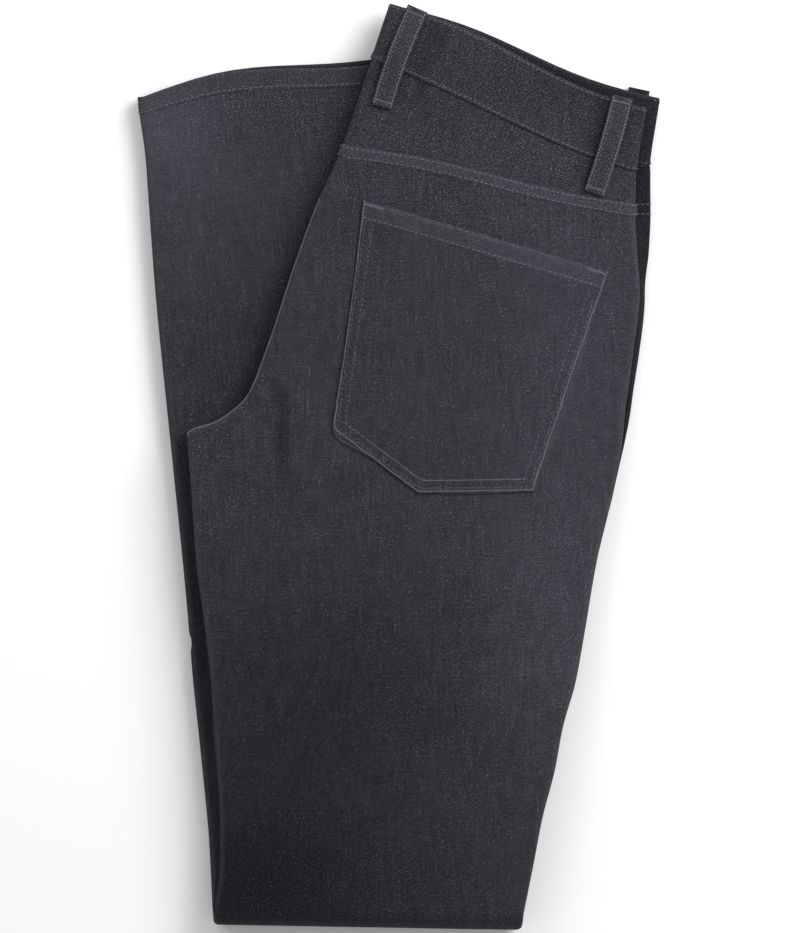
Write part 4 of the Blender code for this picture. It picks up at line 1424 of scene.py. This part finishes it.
def denim(name, dark, light, pale):
    """Right-hand twill on the cloth's own grain: dark warp ribs with the pale weft showing in points
    between them, uneven yarns both ways, rubbed raised edges, and painted shade, painted highlights and
    broad tone from an attribute."""
    material, tree, shader = finish(name)
    grain = take(tree, "ShaderNodeUVMap", {"uv_map": "grain"}, {})
    where = take(tree, "ShaderNodeVectorMath", {"operation": "SCALE"}, {0: grain, "Scale": PER_METRE})
    parts = add_node(tree, "ShaderNodeSeparateXYZ", {}, {0: where})
    u, v = (Value(tree, parts.outputs[i]) for i in (0, 1))
    rub = take(tree, "ShaderNodeAttribute", {"attribute_name": "rub"}, {}, 2)
    # This attribute carries painted shade, painted highlights and broad tone
    painted_shade_or_taper = take(tree, "ShaderNodeAttribute", {"attribute_name": "painted_shade_or_taper"}, {}, 2)
    stray = spots(tree, where, 0.45, 2.0)
    phase = (u - v * 1.05) / TWILL + (stray - 0.5) * 0.8
    ribs = combine(tree, "SINE", phase * (2 * math.pi)) * 0.5 + 0.5
    points = spots(tree, where, 0.85, 2.0, 0.6, (1.0, 1.3, 1.0))
    salt = span(tree, points * 0.72 + ribs * 0.28, 0.44, 0.66)
    patch = span(tree, spots(tree, where, 0.16, 2.0, 0.6, (1.5, 0.4, 1.0)), 0.30, 0.70)
    warp = spots(tree, where, 0.8, 2.0, 0.6, (1.2, 0.05, 1.0))
    weft = spots(tree, where, 0.8, 2.0, 0.6, (0.06, 1.2, 1.0))
    broad = spots(tree, where, 0.022, 3.0)
    yarns = (warp - 0.5) * 0.75 + (weft - 0.5) * 0.60 + (broad - 0.5) * 0.20
    woven = salt * (patch * 0.20 + 0.32) + ribs * 0.24 + yarns * 0.8 + 0.05
    # Painted shade: below 0 the attribute darkens the woven colour and thins the pale points; above 0 it
    # lightens the cloth for painted highlights and paler tone
    deep = combine(tree, "MINIMUM", painted_shade_or_taper, 0.0)
    shade = woven * (deep * 2.2 + 1.0) + combine(tree, "MAXIMUM", painted_shade_or_taper, 0.0) * 0.9
    factor = shade + rub * (ribs * 1.10 + salt * 0.25 - 0.36)
    factor = take(tree, "ShaderNodeClamp", {}, {"Value": factor})
    colour = blended(tree, factor, (*dark, 1), (*light, 1))
    bright = span(tree, points, 0.58, 0.70) * (patch * 0.40 + 0.25)
    flecks = span(tree, spots(tree, where, 1.1, 1.0, 0.5, (0.65, 1.5, 1.0)), 0.57, 0.68)
    pale_share = (bright + flecks * 0.24) * (deep * 1.5 + 1.0) + rub * ribs * salt * 0.25
    colour = blended(tree, pale_share, colour, (*pale, 1))
    tree.links.new(colour.socket, shader.inputs["Base Color"])
    rough = 0.95 - factor * 0.10
    tree.links.new(rough.socket, shader.inputs["Roughness"])
    shader.inputs["Specular IOR Level"].default_value = 0.1
    shader.inputs["Sheen Weight"].default_value = 0.02
    shader.inputs["Sheen Roughness"].default_value = 0.6
    height = ribs * 0.5 + (warp - 0.5) * 0.6 + (weft - 0.5) * 0.6 + points * 0.3
    bump = take(tree, "ShaderNodeBump", {}, {"Strength": 0.5, "Distance": 0.00025, "Height": height})
    tree.links.new(bump.socket, shader.inputs["Normal"])
    return material


def thread_finish(name, dark, light):
    material, tree, shader = finish(name)
    where = take(tree, "ShaderNodeTexCoord", {}, {}, 3)
    fibre = take(tree, "ShaderNodeTexNoise", {}, {"Vector": where, "Scale": 900.0, "Detail": 2.0})
    shade = take(tree, "ShaderNodeTexNoise", {}, {"Vector": where, "Scale": 40.0, "Detail": 2.0})
    colour = blended(tree, fibre * 0.6 + shade * 0.5, (*dark, 1), (*light, 1))
    tree.links.new(colour.socket, shader.inputs["Base Color"])
    shader.inputs["Roughness"].default_value = 0.6
    bump = take(tree, "ShaderNodeBump", {}, {"Strength": 0.3, "Distance": 0.0002, "Height": fibre})
    tree.links.new(bump.socket, shader.inputs["Normal"])
    return material


def floor_finish(colour):
    material, tree, shader = finish("pale_board")
    where = take(tree, "ShaderNodeTexCoord", {}, {}, 3)
    fine = take(tree, "ShaderNodeTexNoise", {}, {"Vector": where, "Scale": 4.0, "Detail": 2.0})
    shade = blended(tree, fine, tuple(c * 0.985 for c in colour) + (1,), (*colour, 1))
    tree.links.new(shade.socket, shader.inputs["Base Color"])
    shader.inputs["Roughness"].default_value = 0.9
    shader.inputs["Specular IOR Level"].default_value = 0.1
    return material


# The stage

FLOOR_HALF, FLOOR_DROP = 6.0, 0.0006
FRAME_WIDTH = 0.4604  # how much of the jeans' plane the view takes in
TOP_HEIGHT = 0.022  # the height of that plane
CAMERA_OVER = (0.000667, 0.00036)
LIGHTS = (
    ("key", (1.05, 0.85, 1.15), (1.2, 1.2), 1.0),
    ("side", (-1.0, 0.9, 1.1), (1.2, 1.2), 0.25),
)


def lay_floor(colour):
    bm = bmesh.new()
    bmesh.ops.create_grid(bm, x_segments=4, y_segments=4, size=FLOOR_HALF)
    mesh = bpy.data.meshes.new("floor")
    bm.to_mesh(mesh)
    bm.free()
    mesh.transform(Matrix.Translation((0, 0, -FLOOR_DROP)))
    mesh.materials.append(floor_finish(colour))
    add_object("floor", mesh)


def light_scene(key, fill):
    world = bpy.data.worlds.new("soft surroundings")
    world.use_nodes = True
    back = world.node_tree.nodes["Background"]
    back.inputs[0].default_value = (1.0, 1.0, 1.0, 1)
    back.inputs[1].default_value = fill
    bpy.context.scene.world = world
    for name, spot, size, share in LIGHTS:
        lamp = bpy.data.lights.new(name, "AREA")
        lamp.shape = "RECTANGLE"
        lamp.size, lamp.size_y = size
        lamp.energy = key * share
        holder = add_object(name, lamp)
        holder.location = spot
        holder.rotation_euler = (-Vector(spot)).to_track_quat("-Z", "Y").to_euler()


def hang_camera(height):
    """Straight above, with the jeans' plane filling the view's width."""
    eye = bpy.data.cameras.new("camera")
    eye.sensor_fit = "HORIZONTAL"
    eye.sensor_width = 36.0
    eye.lens = eye.sensor_width * (height - TOP_HEIGHT) / FRAME_WIDTH
    eye.dof.use_dof = False
    holder = add_object("camera", eye)
    holder.location = (*CAMERA_OVER, height)
    bpy.context.scene.camera = holder


# The add-on


def colour_setting(name, description, default):
    return bpy.props.FloatVectorProperty(
        name=name, description=description, subtype="COLOR", default=default, min=0, max=1
    )


def length_setting(name, description, default):
    return bpy.props.FloatProperty(
        name=name, description=description, subtype="DISTANCE", unit="LENGTH", default=default
    )


class JeansSettings(bpy.types.PropertyGroup):
    """What a user would change about the jeans."""

    dark: colour_setting("Dark yarn", "Colour of the dyed warp", DENIM_DARK)
    light: colour_setting("Light yarn", "Colour where the weft shows", DENIM_LIGHT)
    pitch: length_setting("Stitch pitch", "From one stitch to the next", 0.0031)
    width: length_setting("Thread width", "Width of a stitch", 0.0005)


class StageSettings(bpy.types.PropertyGroup):
    """The floor, light and camera."""

    floor: colour_setting("Floor", "Colour of the floor", (0.95, 0.95, 0.95))
    key: bpy.props.FloatProperty(
        name="Key light", description="Power of the big soft light",
        subtype="POWER", unit="POWER", default=30.0,
    )  # fmt: skip
    fill: bpy.props.FloatProperty(
        name="Fill light", description="Brightness of the surroundings", default=0.5
    )
    distance: length_setting("Camera height", "How high the camera hangs", 6.0)


def cloth_finish(slot):
    given = bpy.context.scene.jeans
    name = "woven_" + slot
    found = bpy.data.materials.get(name)
    if found:
        return found
    shade = 1.0 if slot == "denim" else SEAM_SHADE
    return denim(name, [c * shade for c in given.dark], [c * shade for c in given.light], DENIM_PALE)


def dress(piece, node):
    """Puts a cloth piece in place of its solid."""
    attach(piece, "root")
    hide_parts(node)


class JEANS_OT_backs(bpy.types.Operator):
    """Both back panels, from the yoke round the knee fold to the hem, and both yokes"""

    bl_idname = "jeans.backs"
    bl_label = "Backs and yokes"

    def execute(self, context):
        cloth = cloth_finish("denim")
        for leg in (RIGHT, LEFT):
            back = back_panel(leg, cloth)
            dress(back, f"{leg}_back_panel")
            dress(yoke(leg, cloth), f"{leg}_yoke")
        return {"FINISHED"}


class JEANS_OT_fronts(bpy.types.Operator):
    """Both fronts, folded in between the backs"""

    bl_idname = "jeans.fronts"
    bl_label = "Folded fronts"

    def execute(self, context):
        piece = folded_fronts(cloth_finish("denim"))
        dress(piece, "folded_fronts")
        return {"FINISHED"}


class JEANS_OT_waistband(bpy.types.Operator):
    """The band round the folded waist"""

    bl_idname = "jeans.waistband"
    bl_label = "Waistband"

    def execute(self, context):
        piece = waistband(cloth_finish("seam_denim"))
        dress(piece, "waistband")
        return {"FINISHED"}


class JEANS_OT_hems(bpy.types.Operator):
    """The turned hems"""

    bl_idname = "jeans.hems"
    bl_label = "Hems"

    def execute(self, context):
        for leg in (RIGHT, LEFT):
            piece = hem(leg, cloth_finish("seam_denim"))
            dress(piece, f"{leg}_hem")
        return {"FINISHED"}


class JEANS_OT_pockets(bpy.types.Operator):
    """The patch pockets on the seat"""

    bl_idname = "jeans.pockets"
    bl_label = "Back pockets"

    def execute(self, context):
        for leg in (RIGHT, LEFT):
            piece = pocket(leg, cloth_finish("denim"))
            dress(piece, f"{leg}_back_pocket")
        return {"FINISHED"}


class JEANS_OT_belt_loops(bpy.types.Operator):
    """The belt loops that show"""

    bl_idname = "jeans.belt_loops"
    bl_label = "Belt loops"

    def execute(self, context):
        cloth = cloth_finish("seam_denim")
        for name, loop in LOOPS.items():
            piece = belt_loop(name + "_cloth", **loop, material=cloth)
            dress(piece, name)
        dress(under_loop(cloth), "belt_loop_left_side")
        return {"FINISHED"}


class JEANS_OT_stitches(bpy.types.Operator):
    """Every row of stitches, plain and slanted, and the bar tacks"""

    bl_idname = "jeans.stitches"
    bl_label = "Stitches"

    def execute(self, context):
        given = context.scene.jeans
        pitch, width = given.pitch / MM, given.width / MM
        grey = thread_finish("grey_thread", THREAD_DARK, THREAD_LIGHT)
        pale = thread_finish("pale_thread", EDGE_DARK, EDGE_LIGHT)
        # Name, step, stitch length, thread width, slant in radians and thread
        kinds = (
            ("plain_stitches", pitch, pitch * 0.7, width, 0.0, grey),
            ("sunk_stitches", pitch, pitch * 0.5, width * 0.76, 0.0, grey),
            ("slanted_stitches", 1.9, 1.9, width * 0.95, 0.5, pale),
            ("bar_tacks", 0.55, 1.7, width * 0.8, 1.35, grey),
        )
        surfaces = {}
        for seed, ((name, *sizes, thread), lines) in enumerate(zip(kinds, all_lines()), FIRST_SEED):
            sewn = []
            for piece, points in lines:
                if piece not in surfaces:
                    surfaces[piece] = surface_of(bpy.data.objects[piece])
                sewn.append(laid(surfaces[piece], points))
            stitches = sew(name, sewn, *sizes, seed, thread)
            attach(stitches, "root")
        return {"FINISHED"}


class JEANS_OT_stage(bpy.types.Operator):
    """The floor, the lights and the camera"""

    bl_idname = "jeans.stage"
    bl_label = "Stage"

    def execute(self, context):
        given = context.scene.jeans_stage
        lay_floor(tuple(given.floor))
        light_scene(given.key, given.fill)
        hang_camera(given.distance)
        context.scene.view_settings.view_transform = "Standard"
        return {"FINISHED"}


class JEANS_PT_panel(bpy.types.Panel):
    """Lists the jeans' pieces and their settings"""

    bl_label = "Folded slim jeans"
    bl_idname = "JEANS_PT_panel"
    bl_space_type = "VIEW_3D"
    bl_region_type = "UI"
    bl_category = "Jeans"

    def draw(self, context):
        column = self.layout.column()
        for group in (context.scene.jeans, context.scene.jeans_stage):
            for name in group.bl_rna.properties.keys():
                if name not in ("rna_type", "name"):
                    column.prop(group, name)
        for operator in OPERATORS:
            column.operator(operator.bl_idname)


OPERATORS = (
    JEANS_OT_backs, JEANS_OT_fronts, JEANS_OT_waistband, JEANS_OT_hems, JEANS_OT_pockets,
    JEANS_OT_belt_loops, JEANS_OT_stitches, JEANS_OT_stage,
)  # fmt: skip
CLASSES = (JeansSettings, StageSettings, *OPERATORS, JEANS_PT_panel)


def register():
    for item in CLASSES:
        bpy.utils.register_class(item)
    bpy.types.Scene.jeans = bpy.props.PointerProperty(type=JeansSettings)
    bpy.types.Scene.jeans_stage = bpy.props.PointerProperty(type=StageSettings)


def unregister():
    del bpy.types.Scene.jeans_stage
    del bpy.types.Scene.jeans
    for item in reversed(CLASSES):
        bpy.utils.unregister_class(item)


def main():
    register()
    for operator in OPERATORS:
        group, name = operator.bl_idname.split(".")
        getattr(getattr(bpy.ops, group), name)()


if __name__ == "__main__":
    main()
